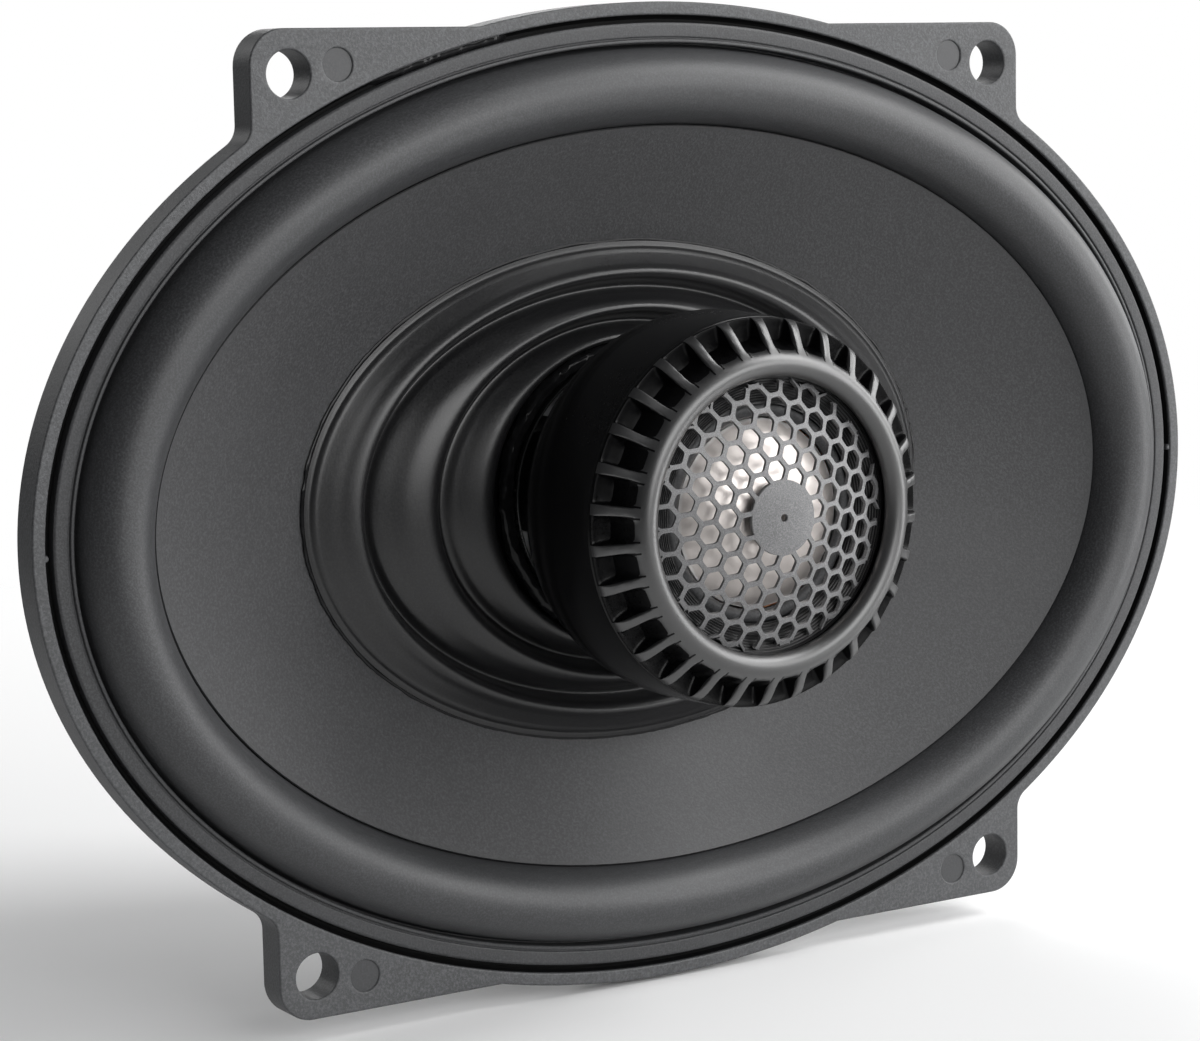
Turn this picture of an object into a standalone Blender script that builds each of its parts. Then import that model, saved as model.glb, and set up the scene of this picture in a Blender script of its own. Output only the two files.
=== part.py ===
"""Coaxial car speaker: an oval woofer with a dome tweeter carried in a pod over the cone.

World frame: X right, Y back (away from the listener), Z up. The origin is the middle of
the plane that the flange rests on. Every piece is drawn in a front frame that hangs on
an empty: X right, Y down, and Z is the depth behind the flange's front face.
"""

import math

import bmesh
import bpy
from mathutils import Matrix, Vector

MM = 0.001
GAP = 0.3 * MM                      # clearance between pieces that touch

# Oval flange
HALF_LENGTH = 92.0 * MM
HALF_HEIGHT = 66.6 * MM
FLANGE_THICKNESS = 5.0 * MM
EAR_HALF_LENGTH = 60.8 * MM
EAR_HALF_HEIGHT = 63.5 * MM
EAR_CORNER = 4.7 * MM
EAR_FILLET = 3.0 * MM
SCREW_X = 55.4 * MM
SCREW_Y = 57.8 * MM
SCREW_HOLE_RADIUS = 3.05 * MM
RECESS_INSET = 1.75 * MM
RECESS_DEPTH = 3.3 * MM

# Cone, surround and voice coil
RING_OUTER_INSET = 2.5 * MM
RING_INNER_INSET = 5.5 * MM
RING_THICKNESS = 1.9 * MM
ROLL_MIDDLE_INSET = 11.1 * MM
ROLL_HALF_WIDTH = 5.2 * MM
ROLL_HEIGHT = 4.5 * MM
ROLL_STEPS = 5
RUBBER = 0.8 * MM
LIP_DEPTH = 2.2 * MM                # front of the surround's foot in the recess
LIP_INSET = 2.9 * MM
CONE_INSET = 16.8 * MM
CONE_FRONT = 0.6 * MM
CONE_WALL = 0.7 * MM
RIPPLE_WALL = 0.6 * MM
COIL_INNER_RADIUS = 18.5 * MM
COIL_WALL = 0.3 * MM
COIL_WINDING = 0.8 * MM
FORMER_FRONT = 8.6 * MM
FORMER_BACK = 44.0 * MM
WINDING_FRONT = 33.8 * MM
WINDING_LENGTH = 10.0 * MM

# Basket behind the flange
LEDGE_DEPTH = 22.0 * MM
LEDGE_OUTER_RADIUS = 42.9 * MM
LEDGE_INNER_RADIUS = 38.5 * MM
SEAT_DEPTH = 33.7 * MM
SEAT_BACK = 36.0 * MM
WINDOW_INNER_RADIUS = 46.0 * MM
WINDOW_OUTER_INSET = 10.0 * MM
WINDOW_FRONT = 5.8 * MM
LEG_WIDTH = 9.0 * MM
LEG_COUNT = 8
VENT_SIZE = (8.0 * MM, 15.0 * MM, 6.0 * MM)
VENT_DEPTH = 29.2 * MM

# Motor
SEAT_HOLE_RADIUS = 22.0 * MM
PLATE_THICKNESS = 5.0 * MM
MAGNET_RADIUS = 37.5 * MM
MAGNET_THICKNESS = 12.3 * MM
POLE_RADIUS = 18.0 * MM
POLE_BORE = 4.5 * MM
RIVET_CIRCLE = 30.0 * MM
RIVET_RADIUS = 1.7 * MM

# Terminals, below the middle
TAB_SIZE = (34.0 * MM, 9.5 * MM, 2.2 * MM)
TAB_Y = 45.25 * MM
TERMINAL_X = 11.2 * MM
TERMINAL_Y = 47.0 * MM
TERMINAL_SHANK = 1.2 * MM
BOARD_SIZE = (32.0 * MM, 11.0 * MM, 2.0 * MM)
BOARD_MIDDLE = (0.0, 47.5 * MM, 25.5 * MM)
BLADE_LENGTH = 18.0 * MM
BLADE_THICKNESS = 0.8 * MM
BLADE_Y = 53.0 * MM
BLADE_DEPTH = 27.2 * MM
BLADE_HOLE_Y = 59.0 * MM
BLADE_HOLE_RADIUS = 0.9 * MM

# Tweeter pod
POD_RADIUS = 26.0 * MM
BEZEL_RADIUS = 25.6 * MM
BEZEL_OPENING = 18.1 * MM
BEZEL_BACK = -20.8 * MM
POCKET_COUNT = 30
POCKET_WIDTH = 3.2 * MM
SCREEN_FRONT = -27.3 * MM
SCREEN_RISE = 3.7 * MM
SCREEN_RADIUS = 18.9 * MM
CELL_PITCH = 4.6 * MM
CELL_WEB = 0.9 * MM
CELL_RINGS = 3
SCREEN_TURN = math.radians(22.6)
SCREEN_SHEET = 0.5 * MM
DOME_RADIUS = 12.4 * MM
DOME_RISE = 4.2 * MM
DOME_BASE = -21.0 * MM

OVAL_STEPS = 36
ROUND_STEPS = 32


def clear_scene():
    """Remove whatever the scene holds."""
    for item in list(bpy.data.objects):
        bpy.data.objects.remove(item, do_unlink=True)


def new_collection(name):
    """Add a collection to the scene."""
    made = bpy.data.collections.new(name)
    bpy.context.scene.collection.children.link(made)
    return made


def new_axis(name, parent=None):
    """Add an empty that carries pieces; the first one turns the front frame to the world."""
    empty = bpy.data.objects.new(name, None)
    SPEAKER.objects.link(empty)
    empty.empty_display_size = 20 * MM
    empty.parent = parent
    if parent is None:
        empty.location = (0, -FLANGE_THICKNESS, 0)
        empty.rotation_euler = (-math.pi / 2, 0, 0)
    return empty


def principled(name, colour, roughness, metallic=0.0):
    """A plain Principled BSDF material."""
    material = bpy.data.materials.new(name)
    material.use_nodes = True
    shader = material.node_tree.nodes["Principled BSDF"]
    shader.inputs["Base Color"].default_value = (*colour, 1.0)
    shader.inputs["Roughness"].default_value = roughness
    shader.inputs["Metallic"].default_value = metallic
    return material


def add_piece(name, mesh, axis, colour, roughness, metallic=0.0):
    """Make a named object with its own material, carried by an axis empty."""
    piece = bpy.data.objects.new(name, mesh)
    SPEAKER.objects.link(piece)
    piece.parent = axis
    mesh.materials.append(principled(name, colour, roughness, metallic))
    return piece


def add_cutter(name, mesh):
    """Make a hidden tool object for a Boolean."""
    tool = bpy.data.objects.new(name, mesh)
    CUTTERS.objects.link(tool)
    tool.parent = BODY_AXIS
    tool.hide_render = True
    tool.display_type = "WIRE"
    return tool


def mesh_from(bm, name):
    """Turn an edited shape into a smooth-shaded mesh with its faces pointing out."""
    bmesh.ops.recalc_face_normals(bm, faces=bm.faces)
    mesh = bpy.data.meshes.new(name)
    bm.to_mesh(mesh)
    bm.free()
    mesh.shade_smooth()
    mesh.set_sharp_from_angle(angle=math.radians(35))
    return mesh


def boolean(piece, tool, operation):
    """Cut a piece with a tool, or join the tool to it."""
    modifier = piece.modifiers.new(tool.name, "BOOLEAN")
    modifier.operation = operation
    modifier.solver = "EXACT"
    modifier.object = tool


def turned_mesh(name, outline):
    """A wire outline of (radius, depth) points; it is left open where both ends lie on the axis."""
    points = [(radius, 0, depth) for radius, depth in outline]
    edges = [(i, i + 1) for i in range(len(points) - 1)]
    if outline[0][0] > 0 or outline[-1][0] > 0:
        edges.append((len(points) - 1, 0))
    mesh = bpy.data.meshes.new(name)
    mesh.from_pydata(points, edges, [])
    return mesh


def turned(name, outline, axis, colour, roughness, metallic=0.0, steps=ROUND_STEPS):
    """Turn an outline round the speaker's axis; it runs from back to front on its outer side."""
    outline = [(radius * MM, depth * MM) for radius, depth in outline]
    piece = add_piece(name, turned_mesh(name, outline), axis, colour, roughness, metallic)
    screw = piece.modifiers.new("turn", "SCREW")
    screw.axis = "Z"
    screw.angle = 2 * math.pi
    screw.steps = steps
    screw.render_steps = steps
    screw.use_merge_vertices = True
    screw.merge_threshold = 0.00001
    screw.use_smooth_shade = True
    return piece


def tube_outline(inner, outer, front, back):
    """Outline of a plain tube or washer."""
    return [(outer, back), (outer, front), (inner, front), (inner, back)]


def edge_normal(angle):
    """Outward direction at a point of the flange's oval edge."""
    return Vector((math.cos(angle) / HALF_LENGTH, math.sin(angle) / HALF_HEIGHT)).normalized()


def edge_point(angle, inset=0.0):
    """A point of the flange's oval edge, moved in by an inset."""
    point = Vector((HALF_LENGTH * math.cos(angle), HALF_HEIGHT * math.sin(angle)))
    return point - edge_normal(angle) * inset


def oval(inset, depth):
    """A ring of points parallel to the flange's edge."""
    angles = [2 * math.pi * step / OVAL_STEPS for step in range(OVAL_STEPS)]
    return [(*edge_point(angle, inset), depth) for angle in angles]


def ellipse(half_x, half_y, depth):
    """A ring of points on an ellipse, in millimetres."""
    ring = []
    for step in range(OVAL_STEPS):
        angle = 2 * math.pi * step / OVAL_STEPS
        ring.append((half_x * MM * math.cos(angle), half_y * MM * math.sin(angle), depth * MM))
    return ring


def circle(radius, depth):
    """A ring of points on a circle, in metres."""
    return ellipse(radius / MM, radius / MM, depth / MM)


def lofted(name, rings):
    """A closed ring-shaped body whose section passes through the given rings."""
    bm = bmesh.new()
    rows = [[bm.verts.new(point) for point in ring] for ring in rings]
    for row, after in zip(rows, rows[1:] + rows[:1]):
        for step in range(OVAL_STEPS):
            side = (step + 1) % OVAL_STEPS
            bm.faces.new((row[step], row[side], after[side], after[step]))
    return mesh_from(bm, name)


def add_prism(bm, outline, front, back):
    """Extrude a flat outline between two depths."""
    base = bm.faces.new([bm.verts.new((x, y, front)) for x, y in outline])
    raised = bmesh.ops.extrude_face_region(bm, geom=[base])["geom"]
    corners = [item for item in raised if isinstance(item, bmesh.types.BMVert)]
    bmesh.ops.translate(bm, verts=corners, vec=(0, 0, back - front))


def add_box(bm, size, centre, turn=0.0):
    """Add a box, turned about the depth axis after it is placed."""
    matrix = Matrix.Rotation(turn, 4, "Z") @ Matrix.Translation(centre) @ Matrix.Diagonal((*size, 1))
    bmesh.ops.create_cube(bm, size=1, matrix=matrix)


def add_rod(bm, x, y, front, back, radius, segments=20):
    """Add a cylinder that runs along the depth axis."""
    bmesh.ops.create_cone(
        bm, cap_ends=True, segments=segments, radius1=radius, radius2=radius, depth=back - front,
        matrix=Matrix.Translation((x, y, (front + back) / 2)))


def corners(x, y):
    """The four mirror images of a point."""
    return [(x * side, y * end) for side in (1, -1) for end in (1, -1)]


def fillet_angle():
    """Where on the oval edge a fillet also touches the ear's upright side."""
    low = 0.0
    high = math.pi / 2
    for _ in range(40):
        middle = (low + high) / 2
        if edge_point(middle, -EAR_FILLET).x > EAR_HALF_LENGTH + EAR_FILLET:
            low = middle
        else:
            high = middle
    return middle


def arc(centre, radius, start, end, steps):
    """Points along a circular arc, its angles in radians."""
    angles = [start + (end - start) * step / steps for step in range(steps + 1)]
    return [(centre[0] + radius * math.cos(angle), centre[1] + radius * math.sin(angle)) for angle in angles]


def ear_outline():
    """One screw ear: a rounded corner outside the oval, filleted where its side meets the oval."""
    inset = RECESS_INSET / 2
    foot = fillet_angle()
    top = math.asin(EAR_HALF_HEIGHT / HALF_HEIGHT)
    outline = [tuple(edge_point(top + (foot - top) * step / 6, inset)) for step in range(7)]
    normal = edge_normal(foot)
    start = math.atan2(normal.y, normal.x) + math.pi
    outline += arc(edge_point(foot, -EAR_FILLET), EAR_FILLET, start, math.pi, 4)
    corner = (EAR_HALF_LENGTH - EAR_CORNER, EAR_HALF_HEIGHT - EAR_CORNER)
    outline += arc(corner, EAR_CORNER, 0, math.pi / 2, 5)
    return outline


def basket_additions():
    """The four screw ears and the tab that carries the terminals."""
    bm = bmesh.new()
    outline = ear_outline()
    for side_x, side_y in corners(1, 1):
        add_prism(bm, [(x * side_x, y * side_y) for x, y in outline], 0, FLANGE_THICKNESS)
    add_box(bm, TAB_SIZE, (0, TAB_Y, LEDGE_DEPTH + TAB_SIZE[2] / 2))
    return add_cutter("basket_additions", mesh_from(bm, "basket_additions"))


def window_outline(index):
    """Plan outline of the opening between two neighbouring legs."""
    first = 2 * math.pi * index / LEG_COUNT
    after = 2 * math.pi * (index + 1) / LEG_COUNT
    steps = 3
    outer = []
    inner = []
    for step in range(steps + 1):
        share = step / steps
        inner_margin = LEG_WIDTH / 2 / WINDOW_INNER_RADIUS
        angle = first + inner_margin + (after - first - 2 * inner_margin) * share
        inner.append((WINDOW_INNER_RADIUS * math.cos(angle), WINDOW_INNER_RADIUS * math.sin(angle)))
        outer_x = HALF_LENGTH - WINDOW_OUTER_INSET
        outer_y = HALF_HEIGHT - WINDOW_OUTER_INSET
        outer_margin = LEG_WIDTH / 2 / outer_y
        angle = first + outer_margin + (after - first - 2 * outer_margin) * share
        outer.append((outer_x * math.cos(angle), outer_y * math.sin(angle)))
    return outer + inner[::-1]


def basket_windows():
    """Openings between the legs, and the smaller vents below the spider's ledge."""
    bm = bmesh.new()
    for index in range(LEG_COUNT):
        add_prism(bm, window_outline(index), WINDOW_FRONT, 30 * MM)
    for index in range(LEG_COUNT):
        turn = 2 * math.pi * (index + 0.5) / LEG_COUNT
        add_box(bm, VENT_SIZE, (LEDGE_INNER_RADIUS + 1 * MM, 0, VENT_DEPTH), turn)
    return add_cutter("basket_windows", mesh_from(bm, "basket_windows"))


def basket_holes():
    """Screw holes in the ears, rivet holes in the seat and in the terminal tab."""
    bm = bmesh.new()
    for x, y in corners(SCREW_X, SCREW_Y):
        add_rod(bm, x, y, -2 * MM, FLANGE_THICKNESS + 2 * MM, SCREW_HOLE_RADIUS, 24)
    for x, y in rivet_places():
        add_rod(bm, x, y, SEAT_DEPTH - 1 * MM, SEAT_BACK + 1 * MM, RIVET_RADIUS + GAP, 12)
    for side in (1, -1):
        add_rod(bm, side * TERMINAL_X, TERMINAL_Y, 20 * MM, 26 * MM, TERMINAL_SHANK + GAP, 12)
    return add_cutter("basket_holes", mesh_from(bm, "basket_holes"))


def make_basket():
    """Moulded frame: flange, legs, spider ledge and the seat for the motor."""
    rings = [
        oval(0, 0),
        oval(RECESS_INSET, 0),
        oval(RECESS_INSET, RECESS_DEPTH),
        oval(6.6 * MM, RECESS_DEPTH),
        oval(7.4 * MM, 6.0 * MM),
        circle(LEDGE_OUTER_RADIUS + 1.2 * MM, LEDGE_DEPTH - 1.5 * MM),
        circle(LEDGE_OUTER_RADIUS, LEDGE_DEPTH),
        circle(LEDGE_INNER_RADIUS, LEDGE_DEPTH),
        circle(LEDGE_INNER_RADIUS - 1.3 * MM, SEAT_DEPTH),
        circle(SEAT_HOLE_RADIUS, SEAT_DEPTH),
        circle(SEAT_HOLE_RADIUS, SEAT_BACK),
        circle(LEDGE_INNER_RADIUS + 1 * MM, SEAT_BACK),
        circle(LEDGE_INNER_RADIUS + 2.5 * MM, LEDGE_DEPTH + 2.5 * MM),
        circle(WINDOW_INNER_RADIUS + 1 * MM, LEDGE_DEPTH + 1.5 * MM),
        oval(5.0 * MM, 7.0 * MM),
        oval(4.5 * MM, FLANGE_THICKNESS),
        oval(0.5 * MM, FLANGE_THICKNESS),
        oval(0, FLANGE_THICKNESS - 0.5 * MM),
    ]
    basket = add_piece("basket", lofted("basket", rings), BODY_AXIS, (0.045, 0.045, 0.05), 0.55)
    boolean(basket, basket_windows(), "DIFFERENCE")
    boolean(basket, basket_additions(), "UNION")
    boolean(basket, basket_holes(), "DIFFERENCE")


def make_trim_ring():
    """Flat oval ring that clamps the surround in the flange's recess."""
    rings = [
        oval(RING_OUTER_INSET, 0),
        oval(RING_INNER_INSET, 0),
        oval(RING_INNER_INSET, RING_THICKNESS),
        oval(RING_OUTER_INSET, RING_THICKNESS),
    ]
    add_piece("trim_ring", lofted("trim_ring", rings), BODY_AXIS, (0.05, 0.05, 0.053), 0.5)


def roll_rings(thickness, reverse=False):
    """Half-roll of the surround, as rings from its outer foot to its inner foot."""
    rings = []
    for step in range(ROLL_STEPS + 1):
        angle = math.pi * step / ROLL_STEPS
        inset = ROLL_MIDDLE_INSET - (ROLL_HALF_WIDTH - thickness) * math.cos(angle)
        depth = LIP_DEPTH - (LIP_DEPTH + ROLL_HEIGHT - thickness) * math.sin(angle)
        rings.append(oval(inset, depth))
    return rings[::-1] if reverse else rings


def make_surround():
    """Rubber half-roll between the recess and the cone; its inner foot is glued behind the cone."""
    lip_back = LIP_DEPTH + RUBBER
    foot_inset = CONE_INSET + 2.2 * MM
    foot_front = CONE_FRONT + 2.7 * MM
    rings = [oval(LIP_INSET, lip_back), oval(LIP_INSET, LIP_DEPTH)]
    rings += roll_rings(0)
    rings += [oval(foot_inset, foot_front), oval(foot_inset, foot_front + RUBBER)]
    rings += [oval(CONE_INSET - 0.2 * MM, lip_back + 0.1 * MM)]
    rings += roll_rings(RUBBER, reverse=True)[1:-1]
    rings += [oval(ROLL_MIDDLE_INSET - ROLL_HALF_WIDTH + RUBBER, lip_back)]
    add_piece("surround", lofted("surround", rings), BODY_AXIS, (0.035, 0.035, 0.038), 0.7)


def make_cone():
    """Shallow oval cone."""
    wall = CONE_WALL / MM
    front = [oval(CONE_INSET, CONE_FRONT), ellipse(62.5, 42.4, 6.0), ellipse(47.4, 32.4, 12.5)]
    back = [
        ellipse(47.4, 32.4, 12.5 + wall),
        ellipse(62.5, 42.4, 6.0 + wall),
        oval(CONE_INSET, CONE_FRONT + CONE_WALL),
    ]
    cone = lofted("cone", front + back)
    add_piece("cone", cone, CONE_AXIS, (0.04, 0.04, 0.042), 0.75)


def ripple_profile():
    """Front side of the corrugated centre, from rim to neck: half length, half height, depth."""
    return [
        (49.9, 34.4, 10.5), (48.3, 32.8, 10.0), (43.2, 30.2, 8.0), (41.6, 28.8, 10.9),
        (40.4, 27.7, 9.6), (34.0, 25.8, 7.4), (31.2, 24.2, 10.9), (28.6, 23.1, 9.6),
        (23.6, 21.5, 8.4), (21.6, 20.8, 11.0), (19.2, 19.2, 11.2),
    ]


def make_corrugated_centre():
    """Inner cone with ripples that turn from oval to round."""
    profile = ripple_profile()
    wall = RIPPLE_WALL / MM
    front = [ellipse(half_x, half_y, depth) for half_x, half_y, depth in profile]
    back = [ellipse(half_x, half_y, depth + wall) for half_x, half_y, depth in reversed(profile)]
    mesh = lofted("corrugated_centre", front + back)
    add_piece("corrugated_centre", mesh, CONE_AXIS, (0.02, 0.02, 0.022), 0.45)


def make_neck():
    """Glue bead, coil former and winding."""
    turned("neck_adhesive", [(20.9, 10.7), (21.1, 9.8), (20.3, 8.8), (19.1, 8.7), (19.1, 10.7)],
           CONE_AXIS, (0.01, 0.01, 0.012), 0.12, steps=24)
    inner = COIL_INNER_RADIUS / MM
    outer = (COIL_INNER_RADIUS + COIL_WALL) / MM
    turned("coil_former", tube_outline(inner, outer, FORMER_FRONT / MM, FORMER_BACK / MM),
           CONE_AXIS, (0.5, 0.36, 0.16), 0.5)
    winding_inner = (COIL_INNER_RADIUS + COIL_WALL + GAP) / MM
    winding_outer = winding_inner + COIL_WINDING / MM
    winding_back = (WINDING_FRONT + WINDING_LENGTH) / MM
    turned("voice_coil", tube_outline(winding_inner, winding_outer, WINDING_FRONT / MM, winding_back),
           CONE_AXIS, (0.6, 0.25, 0.1), 0.35, 0.9)


def make_spider():
    """Corrugated disc that centres the coil former; it is glued to the basket's ledge."""
    wall = 0.5
    front = [(42.4, 21.2), (38.8, 21.2)]
    for step in range(8):
        front.append((36.6 - 2.2 * step, 20.4 - 0.9 * math.cos(math.pi * step)))
    front.append((19.1, 20.2))
    back = [(radius, depth + wall) for radius, depth in reversed(front)]
    turned("spider", [back[-1]] + front + back[:-1], BODY_AXIS, (0.45, 0.3, 0.12), 0.85, steps=24)


def rivet_places():
    """Middles of the four rivets that hold the motor to the basket."""
    angles = [math.radians(45 + 90 * index) for index in range(4)]
    return [(RIVET_CIRCLE * math.cos(angle), RIVET_CIRCLE * math.sin(angle)) for angle in angles]


def make_motor():
    """Top plate, ring magnet, bored T-yoke and the rivets."""
    plate_front = SEAT_BACK + GAP
    plate_back = plate_front + PLATE_THICKNESS
    plate = turned("top_plate", tube_outline(20.4, 36.5, plate_front / MM, plate_back / MM),
                   BODY_AXIS, (0.35, 0.34, 0.3), 0.4, 0.9)
    bm = bmesh.new()
    for x, y in rivet_places():
        add_rod(bm, x, y, plate_front - 2 * MM, 40.3 * MM, RIVET_RADIUS + GAP, 12)
    boolean(plate, add_cutter("plate_holes", mesh_from(bm, "plate_holes")), "DIFFERENCE")

    magnet_front = plate_back + GAP
    magnet_back = magnet_front + MAGNET_THICKNESS
    chamfer = 0.8
    front, back, radius = magnet_front / MM, magnet_back / MM, MAGNET_RADIUS / MM
    turned("magnet", [
        (radius - chamfer, back), (radius, back - chamfer), (radius, front + chamfer),
        (radius - chamfer, front), (24.5, front), (24.5, back),
    ], BODY_AXIS, (0.06, 0.06, 0.065), 0.6, 0.2)

    front = (magnet_back + GAP) / MM
    back = front + PLATE_THICKNESS / MM
    turned("yoke", [
        (33.8, back), (35.0, back - 1.2), (35.0, front), (POLE_RADIUS / MM, front),
        (POLE_RADIUS / MM, 36.2), (POLE_RADIUS / MM - 0.7, 35.5), (POLE_BORE / MM, 35.5),
        (POLE_BORE / MM, back),
    ], BODY_AXIS, (0.35, 0.34, 0.3), 0.4, 0.9)
    head_back = (SEAT_DEPTH - GAP) / MM
    shank = RIVET_RADIUS / MM
    outline = [
        (0, head_back + 6.3), (shank, head_back + 6.3), (shank, head_back), (3.2, head_back),
        (2.6, head_back - 1.4), (0, head_back - 1.4),
    ]
    for number, (x, y) in enumerate(rivet_places(), start=1):
        rivet = turned(f"basket_rivet_{number}", outline, BODY_AXIS, (0.5, 0.5, 0.5), 0.35, 0.9, steps=12)
        rivet.location = (x, y, 0)


def make_terminals():
    """Board, two blades, their rivets and the tweeter's capacitor."""
    holes = bmesh.new()
    for side in (1, -1):
        add_rod(holes, side * TERMINAL_X, TERMINAL_Y, 20 * MM, 32 * MM, TERMINAL_SHANK + GAP, 12)
        add_rod(holes, side * TERMINAL_X, BLADE_HOLE_Y, 20 * MM, 32 * MM, BLADE_HOLE_RADIUS, 10)
    tool = add_cutter("terminal_holes", mesh_from(holes, "terminal_holes"))

    bm = bmesh.new()
    add_box(bm, BOARD_SIZE, BOARD_MIDDLE)
    board = add_piece("terminal_board", mesh_from(bm, "terminal_board"), BODY_AXIS,
                      (0.12, 0.06, 0.02), 0.6)
    boolean(board, tool, "DIFFERENCE")
    for name, side, width in (("terminal_positive", 1, 6.3 * MM), ("terminal_negative", -1, 4.8 * MM)):
        bm = bmesh.new()
        size = (width, BLADE_LENGTH, BLADE_THICKNESS)
        add_box(bm, size, (side * TERMINAL_X, BLADE_Y, BLADE_DEPTH))
        blade = add_piece(name, mesh_from(bm, name), BODY_AXIS, (0.7, 0.68, 0.62), 0.25, 1.0)
        boolean(blade, tool, "DIFFERENCE")
    shank = TERMINAL_SHANK / MM
    outline = [
        (0, 28.9), (1.6, 28.9), (2.2, 27.9), (shank, 27.9),
        (shank, 21.7), (2.0, 21.7), (1.6, 20.9), (0, 20.9),
    ]
    for name, side in (("terminal_rivet_a", 1), ("terminal_rivet_b", -1)):
        rivet = turned(name, outline, BODY_AXIS, (0.6, 0.5, 0.3), 0.3, 1.0, steps=12)
        rivet.location = (side * TERMINAL_X, TERMINAL_Y, 0)

    capacitor = turned("crossover_capacitor", [
        (0, 13.5), (3.6, 13.5), (4.0, 13.1), (4.0, 2.2), (3.7, 1.8), (3.7, 1.4), (4.0, 1.0),
        (4.0, 0.4), (3.6, 0), (0, 0),
    ], BODY_AXIS, (0.02, 0.05, 0.12), 0.3, steps=20)
    capacitor.location = (0, 43.6 * MM, 31 * MM)
    capacitor.rotation_euler = (-math.pi / 2, 0, 0)


def smooth_route(points, per_span=2):
    """Points on a Catmull-Rom curve through a wire's own points, in millimetres."""
    ends = [points[0]] + points + [points[-1]]
    knots = [Vector(point) * MM for point in ends]
    route = []
    for p0, p1, p2, p3 in zip(knots, knots[1:], knots[2:], knots[3:]):
        for step in range(per_span):
            t = step / per_span
            route.append(0.5 * (2 * p1 + (p2 - p0) * t + (2 * p0 - 5 * p1 + 4 * p2 - p3) * t ** 2
                                + (3 * p1 - p0 - 3 * p2 + p3) * t ** 3))
    route.append(knots[-1])
    return route


def make_wire(name, points, radius, axis, colour):
    """A round wire along a smooth route."""
    curve = bpy.data.curves.new(name, "CURVE")
    curve.dimensions = "3D"
    route = smooth_route(points)
    spline = curve.splines.new("POLY")
    spline.points.add(len(route) - 1)
    for place, point in zip(spline.points, route):
        place.co = (*point, 1)
    curve.bevel_depth = radius
    curve.bevel_resolution = 1
    curve.use_fill_caps = True
    curve.materials.append(principled(name, colour, 0.5))
    wire = bpy.data.objects.new(name, curve)
    SPEAKER.objects.link(wire)
    wire.parent = axis


def make_wires():
    """Tinsel leads to the coil, and insulated leads through the post to the tweeter."""
    for letter, side in (("a", 1), ("b", -1)):
        tinsel = [
            (13.4, 44.2, 28.4), (16.2, 44.4, 29.2), (19.0, 46.4, 26.8), (19.6, 48.4, 21.0),
            (18.0, 46.0, 16.6), (14.0, 36.0, 15.0), (10.4, 27.0, 14.8), (8.6, 20.2, 13.6),
        ]
        make_wire(f"tinsel_lead_{letter}", [(side * x, y, z) for x, y, z in tinsel],
                  0.5 * MM, BODY_AXIS, (0.6, 0.45, 0.3))
        lead = [
            (4.0, 0, -8.8), (1.6, 0, -6.0), (0.95, 0, 0), (0.95, 0, 20), (0.95, 0, 40), (0.95, 0, 60),
            (1.1, 0.6, 65.6), (2.4, 6.0, 66.6), (5.5, 16, 63.4), (8.2, 29, 61.0), (9.4, 36.0, 59.4),
            (9.6, 38.4, 54), (9.8, 38.6, 44), (9.8, 41.6, 35), (9.2, 44.2, 28.5),
        ]
        colour = (0.5, 0.03, 0.02) if side > 0 else (0.02, 0.02, 0.02)
        make_wire(f"tweeter_lead_{letter}", [(side * x, y, z) for x, y, z in lead],
                  0.6 * MM, BODY_AXIS, colour)


def make_post():
    """Hollow post that carries the pod, with its washer and nut behind the yoke."""
    turned("tweeter_post", [
        (4.2, 65.0), (4.2, 35.2), (8.5, 35.2), (8.5, 34.2), (6.0, 33.4), (6.0, 1.3), (2.4, 1.3), (2.4, 65.0),
    ], BODY_AXIS, (0.03, 0.03, 0.03), 0.5, steps=24)
    turned("post_washer", tube_outline(4.5, 8.5, 59.5, 60.5), BODY_AXIS, (0.6, 0.6, 0.6), 0.3, 0.95, steps=24)
    bm = bmesh.new()
    add_rod(bm, 0, 0, 60.8 * MM, 64.3 * MM, 7.5 * MM, 6)
    nut = add_piece("post_nut", mesh_from(bm, "post_nut"), BODY_AXIS, (0.6, 0.58, 0.5), 0.3, 0.95)
    bore = bmesh.new()
    add_rod(bore, 0, 0, 58 * MM, 67 * MM, POLE_BORE, 24)
    boolean(nut, add_cutter("nut_bore", mesh_from(bore, "nut_bore")), "DIFFERENCE")


def make_housing():
    """Bowl-shaped pod behind the bezel, with a socket for the post."""
    turned("tweeter_housing", [
        (8.5, 9.0), (15.0, 6.0), (19.2, 3.0), (22.4, 0.0), (25.0, -4.0), (POD_RADIUS / MM, -9.0),
        (POD_RADIUS / MM, -14.0), (25.5, -20.5), (23.5, -20.5), (23.6, -8.0),
        (12.0, -1.5), (3.0, -1.0), (3.0, 0.9), (6.3, 0.9), (6.3, 9.0),
    ], BODY_AXIS, (0.008, 0.008, 0.009), 0.2)


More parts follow.
